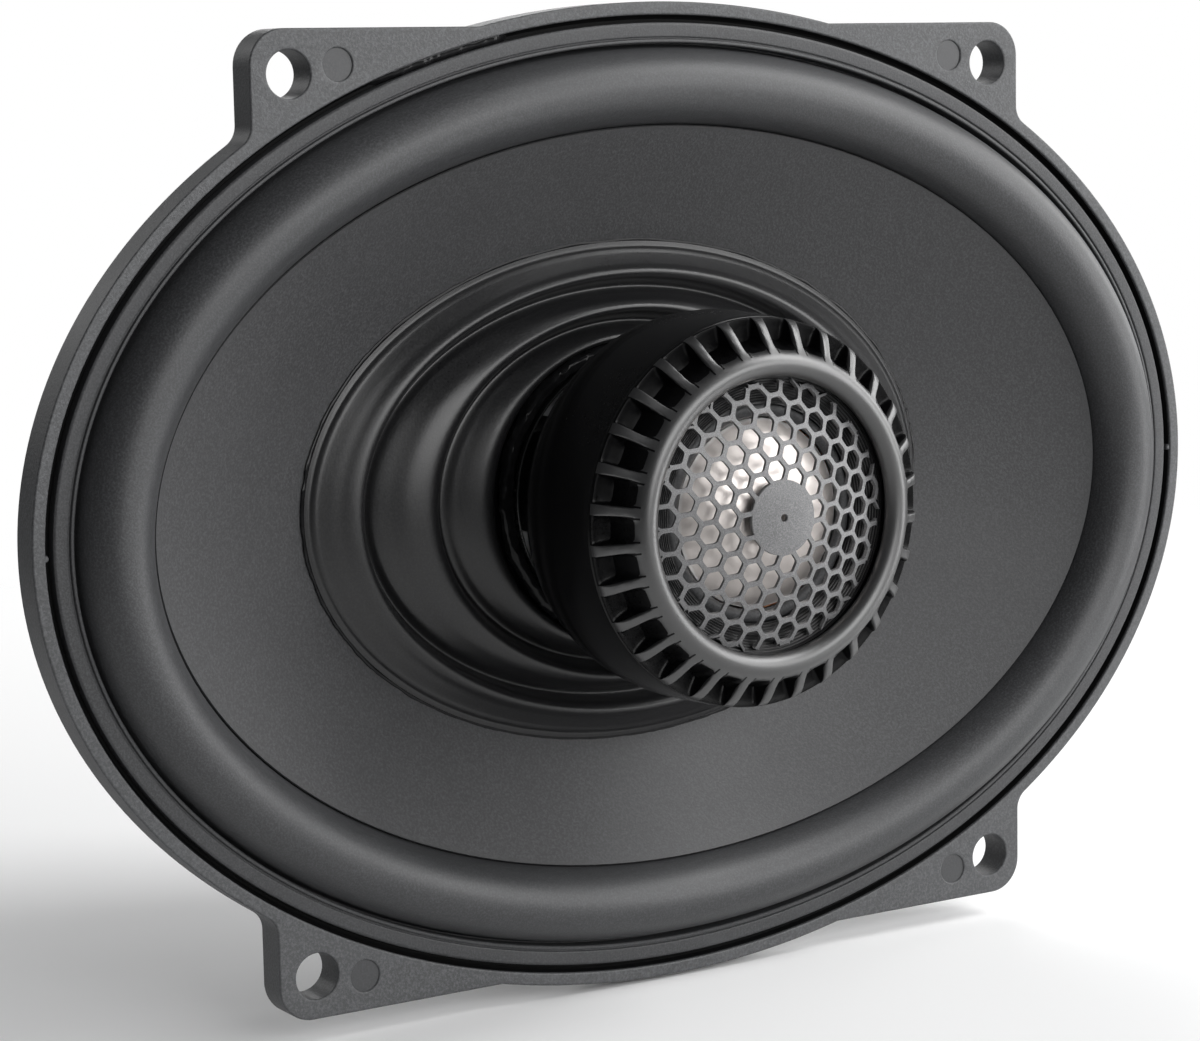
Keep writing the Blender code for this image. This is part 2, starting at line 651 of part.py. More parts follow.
def make_bezel():
    """Finned ring round the screen."""
    bezel = turned("tweeter_bezel", [
        (BEZEL_RADIUS / MM, BEZEL_BACK / MM), (BEZEL_RADIUS / MM, -22.6), (24.6, -23.9), (21.6, -25.3),
        (19.9, -26.2), (18.4, -25.7), (BEZEL_OPENING / MM, -24.3), (19.3, -24.2), (19.3, BEZEL_BACK / MM),
    ], BODY_AXIS, (0.06, 0.06, 0.062), 0.4, steps=POCKET_COUNT)
    profile = [(21.4, -29), (21.5, -25.0), (22.2, -22.8), (27.0, -21.4), (27.0, -29)]
    bm = bmesh.new()
    for index in range(POCKET_COUNT):
        turn = Matrix.Rotation(2 * math.pi * index / POCKET_COUNT, 4, "Z")
        face = bm.faces.new([
            bm.verts.new(turn @ Vector((radius * MM, -POCKET_WIDTH / 2, depth * MM)))
            for radius, depth in profile])
        raised = bmesh.ops.extrude_face_region(bm, geom=[face])["geom"]
        side = [item for item in raised if isinstance(item, bmesh.types.BMVert)]
        bmesh.ops.translate(bm, verts=side, vec=turn @ Vector((0, POCKET_WIDTH, 0)))
    boolean(bezel, add_cutter("bezel_pockets", mesh_from(bm, "bezel_pockets")), "DIFFERENCE")


def cell_places():
    """Middles of the screen's hexagonal cells."""
    places = []
    for i in range(-CELL_RINGS, CELL_RINGS + 1):
        for j in range(-CELL_RINGS, CELL_RINGS + 1):
            if max(abs(i), abs(j), abs(i + j)) <= CELL_RINGS:
                places.append((CELL_PITCH * (i + j / 2), CELL_PITCH * j * math.sqrt(3) / 2))
    return places


def make_screen():
    """Domed honeycomb screen with a solid middle."""
    bm = bmesh.new()
    for x, y in cell_places():
        bmesh.ops.create_circle(bm, cap_ends=True, segments=6, radius=CELL_PITCH / math.sqrt(3),
                                matrix=Matrix.Translation((x, y, 0)))
    bmesh.ops.remove_doubles(bm, verts=bm.verts, dist=0.01 * MM)
    cells = [face for face in bm.faces if face.calc_center_median().length > CELL_PITCH / 2]
    bmesh.ops.inset_individual(bm, faces=cells, thickness=CELL_WEB / 2)
    bmesh.ops.delete(bm, geom=cells, context="FACES_ONLY")
    side = CELL_PITCH / math.sqrt(3)
    border = [edge for edge in bm.edges if edge.is_boundary and edge.calc_length() > 0.95 * side]
    bmesh.ops.create_circle(bm, segments=ROUND_STEPS, radius=SCREEN_RADIUS)
    rim = [edge for edge in bm.edges if edge.is_wire]
    bmesh.ops.triangle_fill(bm, use_beauty=True, edges=border + rim)
    sphere = (SCREEN_RADIUS ** 2 + SCREEN_RISE ** 2) / (2 * SCREEN_RISE)
    for vert in bm.verts:
        radius = vert.co.length
        vert.co.z = SCREEN_FRONT + sphere - math.sqrt(sphere ** 2 - radius ** 2)
    bmesh.ops.rotate(bm, verts=bm.verts, cent=(0, 0, 0), matrix=Matrix.Rotation(SCREEN_TURN, 3, "Z"))
    screen = add_piece("tweeter_grille", mesh_from(bm, "tweeter_grille"), BODY_AXIS,
                       (0.09, 0.09, 0.092), 0.35, 0.6)
    solidify = screen.modifiers.new("sheet", "SOLIDIFY")
    solidify.thickness = SCREEN_SHEET
    solidify.offset = -1


def make_dome():
    """Metal dome with its coil, and the half-roll that carries it."""
    sphere = (DOME_RADIUS ** 2 + DOME_RISE ** 2) / (2 * DOME_RISE)
    wall = 0.25 * MM
    spread = math.asin(DOME_RADIUS / sphere)
    outline = []
    arc_steps = 4
    for thickness, steps in ((0, range(arc_steps, -1, -1)), (wall, range(arc_steps + 1))):
        for step in steps:
            angle = spread * step / arc_steps
            radius = (sphere - thickness) * math.sin(angle)
            depth = DOME_BASE - DOME_RISE + sphere - (sphere - thickness) * math.cos(angle)
            outline.append((radius / MM, depth / MM))
    turned("tweeter_dome", outline, TWEETER_AXIS, (0.75, 0.72, 0.68), 0.3, 1.0, steps=24)
    turned("tweeter_dome_surround", [
        (15.5, -20.65), (15.5, -20.9), (14.4, -20.9), (13.9, -21.5), (13.2, -21.6), (12.7, -21.2),
        (12.7, -20.9), (13.2, -21.3), (13.8, -21.2), (14.3, -20.65),
    ], BODY_AXIS, (0.03, 0.03, 0.03), 0.6, steps=24)
    turned("tweeter_coil_former", tube_outline(12.15, 12.4, -20.5, -16.6), TWEETER_AXIS,
           (0.5, 0.5, 0.5), 0.4, 0.8, steps=24)
    turned("tweeter_voice_coil", tube_outline(12.7, 13.15, -20.0, -17.4), TWEETER_AXIS,
           (0.6, 0.25, 0.1), 0.35, 0.9, steps=24)


def make_tweeter_motor():
    """Waveguide ring, cup, magnet, pole piece and felt pad."""
    turned("tweeter_waveguide", [
        (23.2, -19.0), (23.2, -20.5), (19.0, -20.5), (19.0, -22.7), (17.6, -22.9), (14.4, -21.9),
        (14.4, -21.4), (14.8, -21.2), (16.4, -21.2), (16.4, -19.0),
    ], BODY_AXIS, (0.02, 0.02, 0.02), 0.5, steps=24)
    turned("tweeter_cup", [
        (15.2, -10.0), (16.1, -10.8), (16.1, -20.3), (13.5, -20.3), (13.5, -12.6), (0, -12.6), (0, -10.0),
    ], BODY_AXIS, (0.4, 0.4, 0.4), 0.35, 0.9, steps=24)
    turned("tweeter_magnet", [(0, -12.9), (11.0, -12.9), (11.0, -17.2), (0, -17.2)], BODY_AXIS,
           (0.5, 0.5, 0.52), 0.3, 0.95, steps=24)
    turned("tweeter_top_plate", [(0, -17.5), (11.85, -17.5), (11.85, -20.0), (0, -20.0)], BODY_AXIS,
           (0.4, 0.4, 0.4), 0.35, 0.9, steps=24)
    turned("tweeter_damping_pad", [(0, -20.3), (9.0, -20.3), (8.6, -22.0), (0, -22.0)], BODY_AXIS,
           (0.1, 0.1, 0.1), 0.95, steps=20)


clear_scene()
SPEAKER = new_collection("coaxial_car_speaker")
CUTTERS = new_collection("cutters")
BODY_AXIS = new_axis("speaker_axis")
CONE_AXIS = new_axis("cone_axis", BODY_AXIS)
TWEETER_AXIS = new_axis("tweeter_axis", BODY_AXIS)

make_basket()
make_trim_ring()
make_surround()
make_cone()
make_corrugated_centre()
make_neck()
make_spider()
make_motor()
make_terminals()
make_wires()
make_post()
make_housing()
make_bezel()
make_screen()
make_dome()
make_tweeter_motor()
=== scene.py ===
import math

import bmesh
import bpy
from mathutils import Matrix, Vector, noise


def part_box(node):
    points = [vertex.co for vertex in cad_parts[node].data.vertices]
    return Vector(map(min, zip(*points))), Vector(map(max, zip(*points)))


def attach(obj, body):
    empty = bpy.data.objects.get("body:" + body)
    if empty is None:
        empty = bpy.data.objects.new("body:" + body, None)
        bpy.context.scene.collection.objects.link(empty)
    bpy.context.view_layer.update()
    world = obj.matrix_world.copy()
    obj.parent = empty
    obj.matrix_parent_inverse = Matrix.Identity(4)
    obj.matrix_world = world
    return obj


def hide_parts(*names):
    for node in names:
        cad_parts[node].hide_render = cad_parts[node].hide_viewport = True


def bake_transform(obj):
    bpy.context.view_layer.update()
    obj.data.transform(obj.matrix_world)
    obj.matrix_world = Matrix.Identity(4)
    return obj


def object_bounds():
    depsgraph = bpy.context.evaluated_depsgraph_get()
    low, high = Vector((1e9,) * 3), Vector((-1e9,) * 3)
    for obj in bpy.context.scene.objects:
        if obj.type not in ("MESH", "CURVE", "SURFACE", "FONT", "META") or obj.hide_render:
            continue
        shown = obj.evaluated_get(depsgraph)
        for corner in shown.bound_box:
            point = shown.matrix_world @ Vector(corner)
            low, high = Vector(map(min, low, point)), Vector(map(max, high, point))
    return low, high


# The visual model of a coaxial car speaker. Pieces are drawn in millimetres in a front
# frame: X right, Y down, Z the depth behind the flange's front face.

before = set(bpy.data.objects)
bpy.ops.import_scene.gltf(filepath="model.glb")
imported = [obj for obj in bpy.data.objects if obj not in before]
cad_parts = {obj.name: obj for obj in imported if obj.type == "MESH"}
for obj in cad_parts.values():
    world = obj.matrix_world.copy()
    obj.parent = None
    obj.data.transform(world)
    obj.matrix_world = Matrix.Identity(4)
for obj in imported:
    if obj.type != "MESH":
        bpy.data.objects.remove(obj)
CAD_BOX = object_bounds()
MM = 0.001

flange_low, flange_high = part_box("basket")
pod_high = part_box("tweeter_housing")[1]
screen_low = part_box("tweeter_grille")[0]
HALF_LENGTH = flange_high.x / MM
HALF_HEIGHT = flange_high.z / MM
THICKNESS = -flange_low.y / MM
POD_RADIUS = pod_high.x / MM
SCREEN_FRONT = (screen_low.y - flange_low.y) / MM
TO_ROW = Matrix(((MM, 0, 0, 0), (0, 0, MM, flange_low.y), (0, -MM, 0, 0), (0, 0, 0, 1)))

BODY = "speaker_body"
CONE = "cone_assembly"
DIAPHRAGM = "tweeter_diaphragm"

OVAL_STEPS = 240
ROUND_STEPS = 144
SHARP = math.radians(32)

# Flange
EAR_HALF_LENGTH = 60.8
EAR_HALF_HEIGHT = 63.5
EAR_CORNER = 4.7
EAR_FILLET = 3.0
SCREW_X, SCREW_Y = 55.4, 57.8
SCREW_RADIUS = 3.05
MARK_X, MARK_Y = 48.5, 58.9
MARK_RADIUS = 2.35
RECESS_INSET = 1.75
RECESS_DEPTH = 3.3
EDGE = 0.28

# Trim ring, surround and cone, as insets from the flange's edge
RING_INNER = 5.5
ROLL_MIDDLE, ROLL_HALF, ROLL_HEIGHT = 11.1, 5.2, 4.5
ROLL_FOOT, ROLL_WALL, ROLL_STEPS = 2.2, 0.8, 28
CONE_INSET = 16.5
CONE_FRONT = 0.5
CONE_INNER = (47.4, 32.4, 12.2)
CONE_HOLLOW, CONE_WALL = 0.55, 0.7
CENTRE_WALL = 0.55

# Motor, spider and terminals
RIVET_CIRCLE = 30.0
COIL_REAR, COIL_LENGTH, COIL_TURNS = 43.8, 10.0, 26
SPIDER_OUTER, SPIDER_WAVE, SPIDER_WALL = 38.0, 4.25, 0.35
TERMINAL_X, TERMINAL_RIVET_Y, TERMINAL_HOLE = 11.2, 47.0, 1.5
NUT_RADIUS = 7.5

# Tweeter
POCKETS = 30
POCKET_HALF = 1.6
CELL_PITCH = 3.1
CELL_WEB = 0.7
CELL_RINGS = 7
SOLID_RADIUS = 4.85
SCREEN_RADIUS = 17.7
SCREEN_SPHERE = 45.6
SCREEN_SHEET = 0.5
SCREEN_TURN = math.radians(22.6)


# ---- shapes

def edge_normal(angle):
    """Outward direction at a point of the flange's oval edge."""
    return Vector((math.cos(angle) / HALF_LENGTH, math.sin(angle) / HALF_HEIGHT)).normalized()


def edge_point(angle, inset=0.0):
    """A point of the flange's oval edge, moved in by an inset."""
    point = Vector((HALF_LENGTH * math.cos(angle), HALF_HEIGHT * math.sin(angle)))
    return point - edge_normal(angle) * inset


def turns(steps):
    """Evenly spaced angles round a full turn."""
    return [2 * math.pi * step / steps for step in range(steps)]


def oval(inset, depth):
    """A ring parallel to the flange's edge."""
    return [(*edge_point(angle, inset), depth) for angle in turns(OVAL_STEPS)]


def ellipse(half_x, half_y, depth, steps=OVAL_STEPS):
    """An elliptical ring; with no size it is one point on the axis."""
    if half_x == 0:
        return [(0, 0, depth)]
    return [(half_x * math.cos(angle), half_y * math.sin(angle), depth) for angle in turns(steps)]


def catmull(p0, p1, p2, p3, t):
    """A point on the smooth curve from p1 to p2."""
    return 0.5 * (2 * p1 + (p2 - p0) * t + (2 * p0 - 5 * p1 + 4 * p2 - p3) * t * t
                  + (3 * p1 - p0 - 3 * p2 + p3) * t ** 3)


def smooth(points, per_span):
    """Points on a smooth curve through the given ones."""
    knots = [Vector(point) for point in [points[0], *points, points[-1]]]
    curve = []
    for group in zip(knots, knots[1:], knots[2:], knots[3:]):
        curve += [catmull(*group, step / per_span) for step in range(per_span)]
    return curve + [knots[-1]]


def skin(rings, closed=True):
    """A surface through rings of points; closed joins the last ring to the first."""
    bm = bmesh.new()
    count = max(len(ring) for ring in rings)
    rows = []
    for ring in rings:
        row = [bm.verts.new(point) for point in ring]
        rows.append(row if len(row) > 1 else row * count)
    pairs = list(zip(rows, rows[1:]))
    if closed:
        pairs.append((rows[-1], rows[0]))
    for row, after in pairs:
        for step in range(count):
            side = (step + 1) % count
            corners = list(dict.fromkeys((row[step], row[side], after[side], after[step])))
            if len(corners) > 2:
                bm.faces.new(corners)
    return bm


def lathe(outline, steps=ROUND_STEPS):
    """A solid turned from (radius, depth) points, open only where both ends are on the axis."""
    closed = outline[0][0] > 0 or outline[-1][0] > 0
    return skin([ellipse(radius, radius, depth, steps) for radius, depth in outline], closed)


def tube(route, radius, sides=12, lobes=0, pitch=1.0):
    """A round or stranded wire along a route, with closed ends."""
    normal = Vector((0.3, 0.2, 0.93))
    rings = [[tuple(route[0])]]
    travelled = 0.0
    for index, point in enumerate(route):
        ahead = route[min(index + 1, len(route) - 1)] - route[max(index - 1, 0)]
        normal = (normal - ahead * (normal.dot(ahead) / ahead.length_squared)).normalized()
        across = ahead.normalized().cross(normal)
        ring = []
        for angle in turns(sides):
            size = radius * (1 + 0.16 * math.cos(lobes * (angle - travelled / pitch))) if lobes else radius
            ring.append(tuple(point + normal * size * math.cos(angle) + across * size * math.sin(angle)))
        rings.append(ring)
        travelled += ahead.length / 2
    rings.append([tuple(route[-1])])
    return skin(rings, closed=False)


def roughen(bm, size, amount):
    """Move every point by smooth noise, along its normal."""
    bm.normal_update()
    for vert in bm.verts:
        shift = noise.noise(vert.co / size) + 0.5 * noise.noise(vert.co / size * 2.3)
        vert.co += vert.normal * shift * amount


def shifted(bm, offset):
    """Move a whole shape."""
    bmesh.ops.translate(bm, verts=bm.verts, vec=offset)
    return bm


def add_object(name, data):
    """A new object in the scene."""
    made = bpy.data.objects.new(name, data)
    bpy.context.scene.collection.objects.link(made)
    return made


def piece(name, bm, body, material, replaces=(), bevel=0.0, sharp=SHARP, second=None, slot=None):
    """Turn a shape into a piece that rides on a body; a slot name is taken from its material, or given, but
    is not used.
    """
    slot = slot or material.name.partition(".")[0]  # the CAD has the plain name, so this one gets a suffix
    bmesh.ops.recalc_face_normals(bm, faces=bm.faces)
    mesh = bpy.data.meshes.new(name)
    bm.to_mesh(mesh)
    bm.free()
    mesh.transform(TO_ROW)
    mesh.shade_smooth()
    mesh.set_sharp_from_angle(angle=sharp)
    mesh.materials.append(material)
    if second:
        mesh.materials.append(second)
    made = add_object(name, mesh)
    if bevel:
        rounding = made.modifiers.new("edges", "BEVEL")
        rounding.width = bevel * MM
        rounding.segments = 3
        rounding.limit_method = "ANGLE"
        rounding.angle_limit = SHARP
        rounding.harden_normals = True
    if body:
        made.modifiers.new("normals", "WEIGHTED_NORMAL").keep_sharp = True
        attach(made, body)
    if replaces:
        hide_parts(*replaces)
    return made


def turned(name, outline, body, material, bevel=0.0, steps=ROUND_STEPS):
    """A turned piece that takes the place of the CAD node with its name."""
    return piece(name, lathe(outline, steps), body, material, [name], bevel)


def flexing(made, share):
    """Bake a piece's place into its mesh and work out smoothed weights from share, a point's part of the
    travel between the body and a moving one; the weights are not used.
    """
    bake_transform(made)
    weights = [max(0.0, min(1.0, share(vert.co / MM))) for vert in made.data.vertices]
    weights = [weight * weight * (3 - 2 * weight) for weight in weights]


# ---- materials

class Nodes:
    """Short names for building a material's nodes."""

    def __init__(self, name):
        self.material = bpy.data.materials.new(name)
        self.material.use_nodes = True
        self.tree = self.material.node_tree
        self.shader = self.tree.nodes["Principled BSDF"]
        coordinates = self.tree.nodes.new("ShaderNodeTexCoord")
        self.place = coordinates.outputs["Object"]

    def join(self, source, target):
        self.tree.links.new(source, target)

    def add(self, kind, inputs=(), **values):
        """A new node with its settings, and with each input joined to an output or given a value."""
        node = self.tree.nodes.new("ShaderNode" + kind)
        for key, value in values.items():
            setattr(node, key, value)
        for key, value in dict(inputs).items():
            if isinstance(value, bpy.types.NodeSocket):
                self.join(value, node.inputs[key])
            else:
                node.inputs[key].default_value = value
        return node

    def noise(self, size, detail=2.0, roughness=0.5, stretch=(1, 1, 1)):
        """Noise whose features have a size in millimetres."""
        scale = [side / (size * MM) for side in stretch]
        place = self.add("Mapping", {"Vector": self.place, "Scale": scale}).outputs["Vector"]
        settings = {"Vector": place, "Scale": 1.0, "Detail": detail, "Roughness": roughness}
        return self.add("TexNoise", settings).outputs["Fac"]

    def ramp(self, source, low, high, bottom=0.0, top=1.0):
        """Map a range of values to another, held at its ends."""
        limits = {"From Min": low, "From Max": high, "To Min": bottom, "To Max": top}
        return self.add("MapRange", {"Value": source, **limits}).outputs["Result"]

    def math(self, operation, first, second):
        return self.add("Math", {0: first, 1: second}, operation=operation).outputs["Value"]

    def mix(self, share, first, second):
        """Mix two colours, or the output of another node."""
        inputs = {"Factor": share}
        for socket, value in ((6, first), (7, second)):
            inputs[socket] = (*value, 1.0) if isinstance(value, tuple) else value
        return self.add("Mix", inputs, data_type="RGBA").outputs[2]

    def bump(self, height, depth, previous=None):
        """Bump of a depth in millimetres, over an earlier one if there is one."""
        inputs = {"Distance": depth * MM, "Height": height}
        if previous is not None:
            inputs["Normal"] = previous
        return self.add("Bump", inputs).outputs["Normal"]

    def edges(self):
        """Where the mesh is sharply convex."""
        return self.ramp(self.add("NewGeometry").outputs["Pointiness"], 0.53, 0.58)

    def set(self, **values):
        """Set plain values of the shader."""
        for key, value in values.items():
            self.shader.inputs[key.replace("_", " ")].default_value = value

    def finish(self, colour, roughness, normal, **values):
        """Join the three maps, set plain values and hand over the material."""
        for key, source in (("Base Color", colour), ("Roughness", roughness), ("Normal", normal)):
            self.join(source, self.shader.inputs[key])
        self.set(**values)
        return self.material


def shade(colour, factor):
    """A colour made lighter or darker."""
    return tuple(min(1.0, channel * factor) for channel in colour)


def moulded(name, colour, roughness, grain=0.35, depth=0.03, wear=1.5, patch=14.0, coat=0.0,
            spread=0.12, specular=0.5, ior=1.5):
    """Moulded or coated surface: fine grain, faint patches, dust and paler edges."""
    nodes = Nodes(name)
    patches = nodes.ramp(nodes.noise(patch, 4.0), 0.3, 0.7)
    fine = nodes.noise(grain, 3.0, 0.6)
    tone = nodes.mix(patches, shade(colour, 1 - spread), shade(colour, 1 + spread))
    speckle = nodes.ramp(fine, 0.42, 0.72, 0.0, 0.9)
    tone = nodes.mix(speckle, tone, shade(colour, 2.2))
    worn = nodes.math("MULTIPLY", nodes.edges(), nodes.ramp(nodes.noise(2.5, 3.0), 0.35, 0.65, 0.25, 0.9))
    tone = nodes.mix(worn, tone, shade(colour, 1 + wear))
    gloss = nodes.math("ADD", nodes.ramp(patches, 0.0, 1.0, roughness - 0.04, roughness + 0.04),
                       nodes.ramp(fine, 0.2, 0.8, -0.05, 0.05))
    relief = nodes.bump(fine, depth)
    relief = nodes.bump(nodes.noise(patch * 0.35, 2.0), depth * 1.2, relief)
    return nodes.finish(tone, gloss, relief, Coat_Weight=coat, Coat_Roughness=0.2,
                        Specular_IOR_Level=specular, IOR=ior)


def metal(name, colour, roughness, streak=0.25, stretch=(1, 1, 1), tarnish=0.5):
    """Bare or plated metal: fine streaks, blotches and rubbed edges."""
    nodes = Nodes(name)
    blotch = nodes.ramp(nodes.noise(9.0, 5.0, 0.6), 0.35, 0.7)
    tone = nodes.mix(blotch, shade(colour, 1 - tarnish * 0.4), shade(colour, 1.1))
    tone = nodes.mix(nodes.math("MULTIPLY", nodes.edges(), 0.6), tone, shade(colour, 1.5))
    fine = nodes.noise(streak, 3.0, 0.6, stretch)
    gloss = nodes.math("ADD", nodes.ramp(fine, 0.25, 0.75, roughness - 0.06, roughness + 0.08),
                       nodes.ramp(blotch, 0.0, 1.0, 0.06, 0.0))
    return nodes.finish(tone, gloss, nodes.bump(fine, 0.006), Metallic=1.0)


def woven(name, colour, thread):
    """Cloth: two crossing sets of threads, with painted shade between them, sheen and uneven resin."""
    nodes = Nodes(name)
    heights = []
    for axis in ("X", "Z"):
        inputs = {"Vector": nodes.place, "Scale": 0.314 / (thread * MM), "Distortion": 0.6}
        wave = nodes.add("TexWave", inputs, wave_type="BANDS", bands_direction=axis)
        heights.append(wave.outputs["Fac"])
    weave = nodes.math("MULTIPLY", *heights)
    blotch = nodes.ramp(nodes.noise(7.0, 4.0), 0.3, 0.7)
    tone = nodes.mix(blotch, shade(colour, 0.75), shade(colour, 1.15))
    # Painted shade in the hollows between the threads, where the weave is low.
    tone = nodes.mix(nodes.ramp(weave, 0.0, 0.6, 0.7, 0.0), tone, shade(colour, 0.35))
    gloss = nodes.ramp(blotch, 0.0, 1.0, 0.65, 0.85)
    return nodes.finish(tone, gloss, nodes.bump(weave, 0.08), Sheen_Weight=0.3)


def glue_material():
    """Wet-looking black adhesive."""
    nodes = Nodes("glue")
    blotch = nodes.noise(1.2, 3.0)
    tone = nodes.mix(blotch, (0.002, 0.002, 0.002), (0.014, 0.014, 0.015))
    gloss = nodes.ramp(blotch, 0.3, 0.7, 0.06, 0.16)
    return nodes.finish(tone, gloss, nodes.bump(nodes.noise(0.8, 2.0), 0.015), Specular_IOR_Level=0.15)


FLANGE = moulded("basket_plastic", (0.038, 0.039, 0.041), 0.52, grain=0.32, depth=0.05, wear=0.5)
MARK = moulded("mark_plastic", (0.024, 0.0245, 0.026), 0.45, grain=0.3, depth=0.012, wear=0.4)
RING = moulded("ring_plastic", (0.026, 0.0265, 0.028), 0.5, grain=0.28, depth=0.025, wear=0.6,
               specular=0.4)
RUBBER = moulded("surround_rubber", (0.024, 0.0245, 0.026), 0.48, grain=0.28, depth=0.024, patch=30.0,
                 wear=0.3, spread=0.05)
PULP = moulded("cone_pulp", (0.025, 0.0252, 0.0265), 0.6, grain=0.34, depth=0.038, patch=24.0,
               wear=0.2, spread=0.06)
CENTRE = moulded("centre_pulp", (0.0075, 0.0075, 0.008), 0.33, grain=0.3, depth=0.012, patch=20.0,
                 wear=0.2, spread=0.08)
GLUE = glue_material()
POD = moulded("pod_plastic", (0.002, 0.002, 0.0022), 0.22, grain=0.5, depth=0.002, wear=0.6, spread=0.1,
              specular=0.25)
BEZEL = moulded("bezel_plastic", (0.008, 0.008, 0.0083), 0.38, grain=0.2, depth=0.0006, wear=0.8,
                spread=0.05, specular=0.9, ior=1.6)
# Bezel pocket faces: the bezel's own plastic, painted near black and less shiny as the shade deep in its
# pockets.
POCKET_SHADE = moulded("pocket_painted_shade", (0.002, 0.002, 0.0022), 0.3, grain=0.4, depth=0.002, wear=0.4,
                 specular=0.12)
# Seat glue bed: real adhesive, made matte and near black so that it also paints the shade deep in the
# groove.
SEAT_GLUE_AND_SHADE = moulded("seat_glue_and_painted_shade", (0.002, 0.002, 0.0021), 0.6, grain=0.4, depth=0.01, wear=0.2, specular=0.1)
SCREEN = moulded("screen_steel", (0.1, 0.1, 0.102), 0.36, grain=0.15, depth=0.006, wear=0.7, spread=0.08)
GUIDE = moulded("waveguide_plastic", (0.006, 0.006, 0.0065), 0.32, grain=0.2, depth=0.01, wear=0.8,
                specular=0.4)
DOME = metal("dome_metal", (0.74, 0.69, 0.66), 0.4, streak=0.5, tarnish=0.2)
STEEL = metal("steel", (0.5, 0.5, 0.51), 0.3)
NICKEL = metal("neodymium", (0.6, 0.6, 0.62), 0.22)
FERRITE = moulded("ferrite", (0.045, 0.045, 0.048), 0.55, grain=0.25, depth=0.03, wear=1.4, spread=0.2)
BOARD = moulded("board", (0.14, 0.07, 0.03), 0.6, grain=0.2, depth=0.03, wear=0.8, spread=0.2)
TINNED = metal("tinned_brass", (0.72, 0.69, 0.6), 0.25, streak=0.2, stretch=(4, 1, 1))
SLEEVE = moulded("capacitor_sleeve", (0.012, 0.03, 0.09), 0.25, grain=0.4, depth=0.004, coat=0.4)
POST = moulded("post_plastic", (0.018, 0.018, 0.019), 0.45)
FORMER = moulded("former_sheet", (0.006, 0.006, 0.006), 0.25, grain=0.5, depth=0.01, coat=0.3)
COPPER = metal("copper_winding", (0.75, 0.33, 0.17), 0.25, streak=0.25, stretch=(0.1, 4, 0.1))
CLOTH = woven("spider_cloth", (0.42, 0.26, 0.09), 0.55)
LEAD_RED = moulded("lead_red", (0.35, 0.015, 0.012), 0.35, grain=0.3, depth=0.004)
LEAD_BLACK = moulded("lead_black", (0.012, 0.012, 0.012), 0.35, grain=0.3, depth=0.004)
ALUMINIUM = metal("tweeter_former", (0.75, 0.75, 0.76), 0.3)
FELT = woven("felt", (0.05, 0.05, 0.05), 0.25)
BRAID = metal("tinsel_braid", (0.68, 0.5, 0.36), 0.38, streak=0.15)


# ---- flange and basket

def fillet_angle():
    """Where on the oval edge a fillet also touches the ear's upright side."""
    low, high = 0.0, math.pi / 2
    for _ in range(40):
        middle = (low + high) / 2
        if edge_point(middle, -EAR_FILLET).x > EAR_HALF_LENGTH + EAR_FILLET:
            low = middle
        else:
            high = middle
    return middle


def arc(centre, radius, start, end, steps):
    """Points along a circular arc."""
    angles = [start + (end - start) * step / steps for step in range(steps + 1)]
    return [(centre[0] + radius * math.cos(angle), centre[1] + radius * math.sin(angle)) for angle in angles]


def flange_quarter():
    """A quarter of the flange's outline, from its right end to its lowest point."""
    foot = fillet_angle()
    side = edge_normal(foot)
    top = math.asin(EAR_HALF_HEIGHT / HALF_HEIGHT)
    outline = [tuple(edge_point(foot * step / 36)) for step in range(36)]
    start = math.atan2(side.y, side.x) + math.pi
    outline += arc(edge_point(foot, -EAR_FILLET), EAR_FILLET, start, math.pi, 8)
    outline += arc((EAR_HALF_LENGTH - EAR_CORNER, EAR_HALF_HEIGHT - EAR_CORNER), EAR_CORNER,
                   0, math.pi / 2, 12)
    outline += [tuple(edge_point(top + (math.pi / 2 - top) * step / 16)) for step in range(16)]
    return outline


def flange_outline():
    """The whole outline: the oval with its four ears."""
    quarter = flange_quarter()
    right = quarter + [(0, HALF_HEIGHT)]
    left = [(-x, y) for x, y in reversed(quarter)]
    lower = right + left
    upper = [(x, -y) for x, y in reversed(lower[1:-1])]
    return lower + upper


def plate_curve(contours, front, back, edge):
    """A flat plate with rounded edges, from closed contours, as a welded shape."""
    curve = bpy.data.curves.new("plate", "CURVE")
    curve.dimensions = "2D"
    curve.fill_mode = "BOTH"
    curve.bevel_depth = edge
    curve.bevel_resolution = 3
    curve.offset = -edge
    curve.extrude = (back - front) / 2 - edge
    for contour in contours:
        spline = curve.splines.new("POLY")
        spline.points.add(len(contour) - 1)
        for point, (x, y) in zip(spline.points, contour):
            point.co = (x, y, 0, 1)
        spline.use_cyclic_u = True
    holder = add_object("plate", curve)
    bpy.context.view_layer.update()
    mesh = bpy.data.meshes.new_from_object(holder)
    bm = bmesh.new()
    bm.from_mesh(mesh)
    bpy.data.objects.remove(holder)
    bpy.data.meshes.remove(mesh)
    bpy.data.curves.remove(curve)
    bmesh.ops.remove_doubles(bm, verts=bm.verts, dist=0.002)
    return shifted(bm, (0, 0, (front + back) / 2))


def circle(x, y, radius, steps=48):
    """A flat round contour."""
    return [(x + radius * math.cos(angle), y + radius * math.sin(angle)) for angle in turns(steps)]


def corners(x, y):
    """The four mirror images of a point."""
    return [(x * side, y * end) for side in (1, -1) for end in (1, -1)]


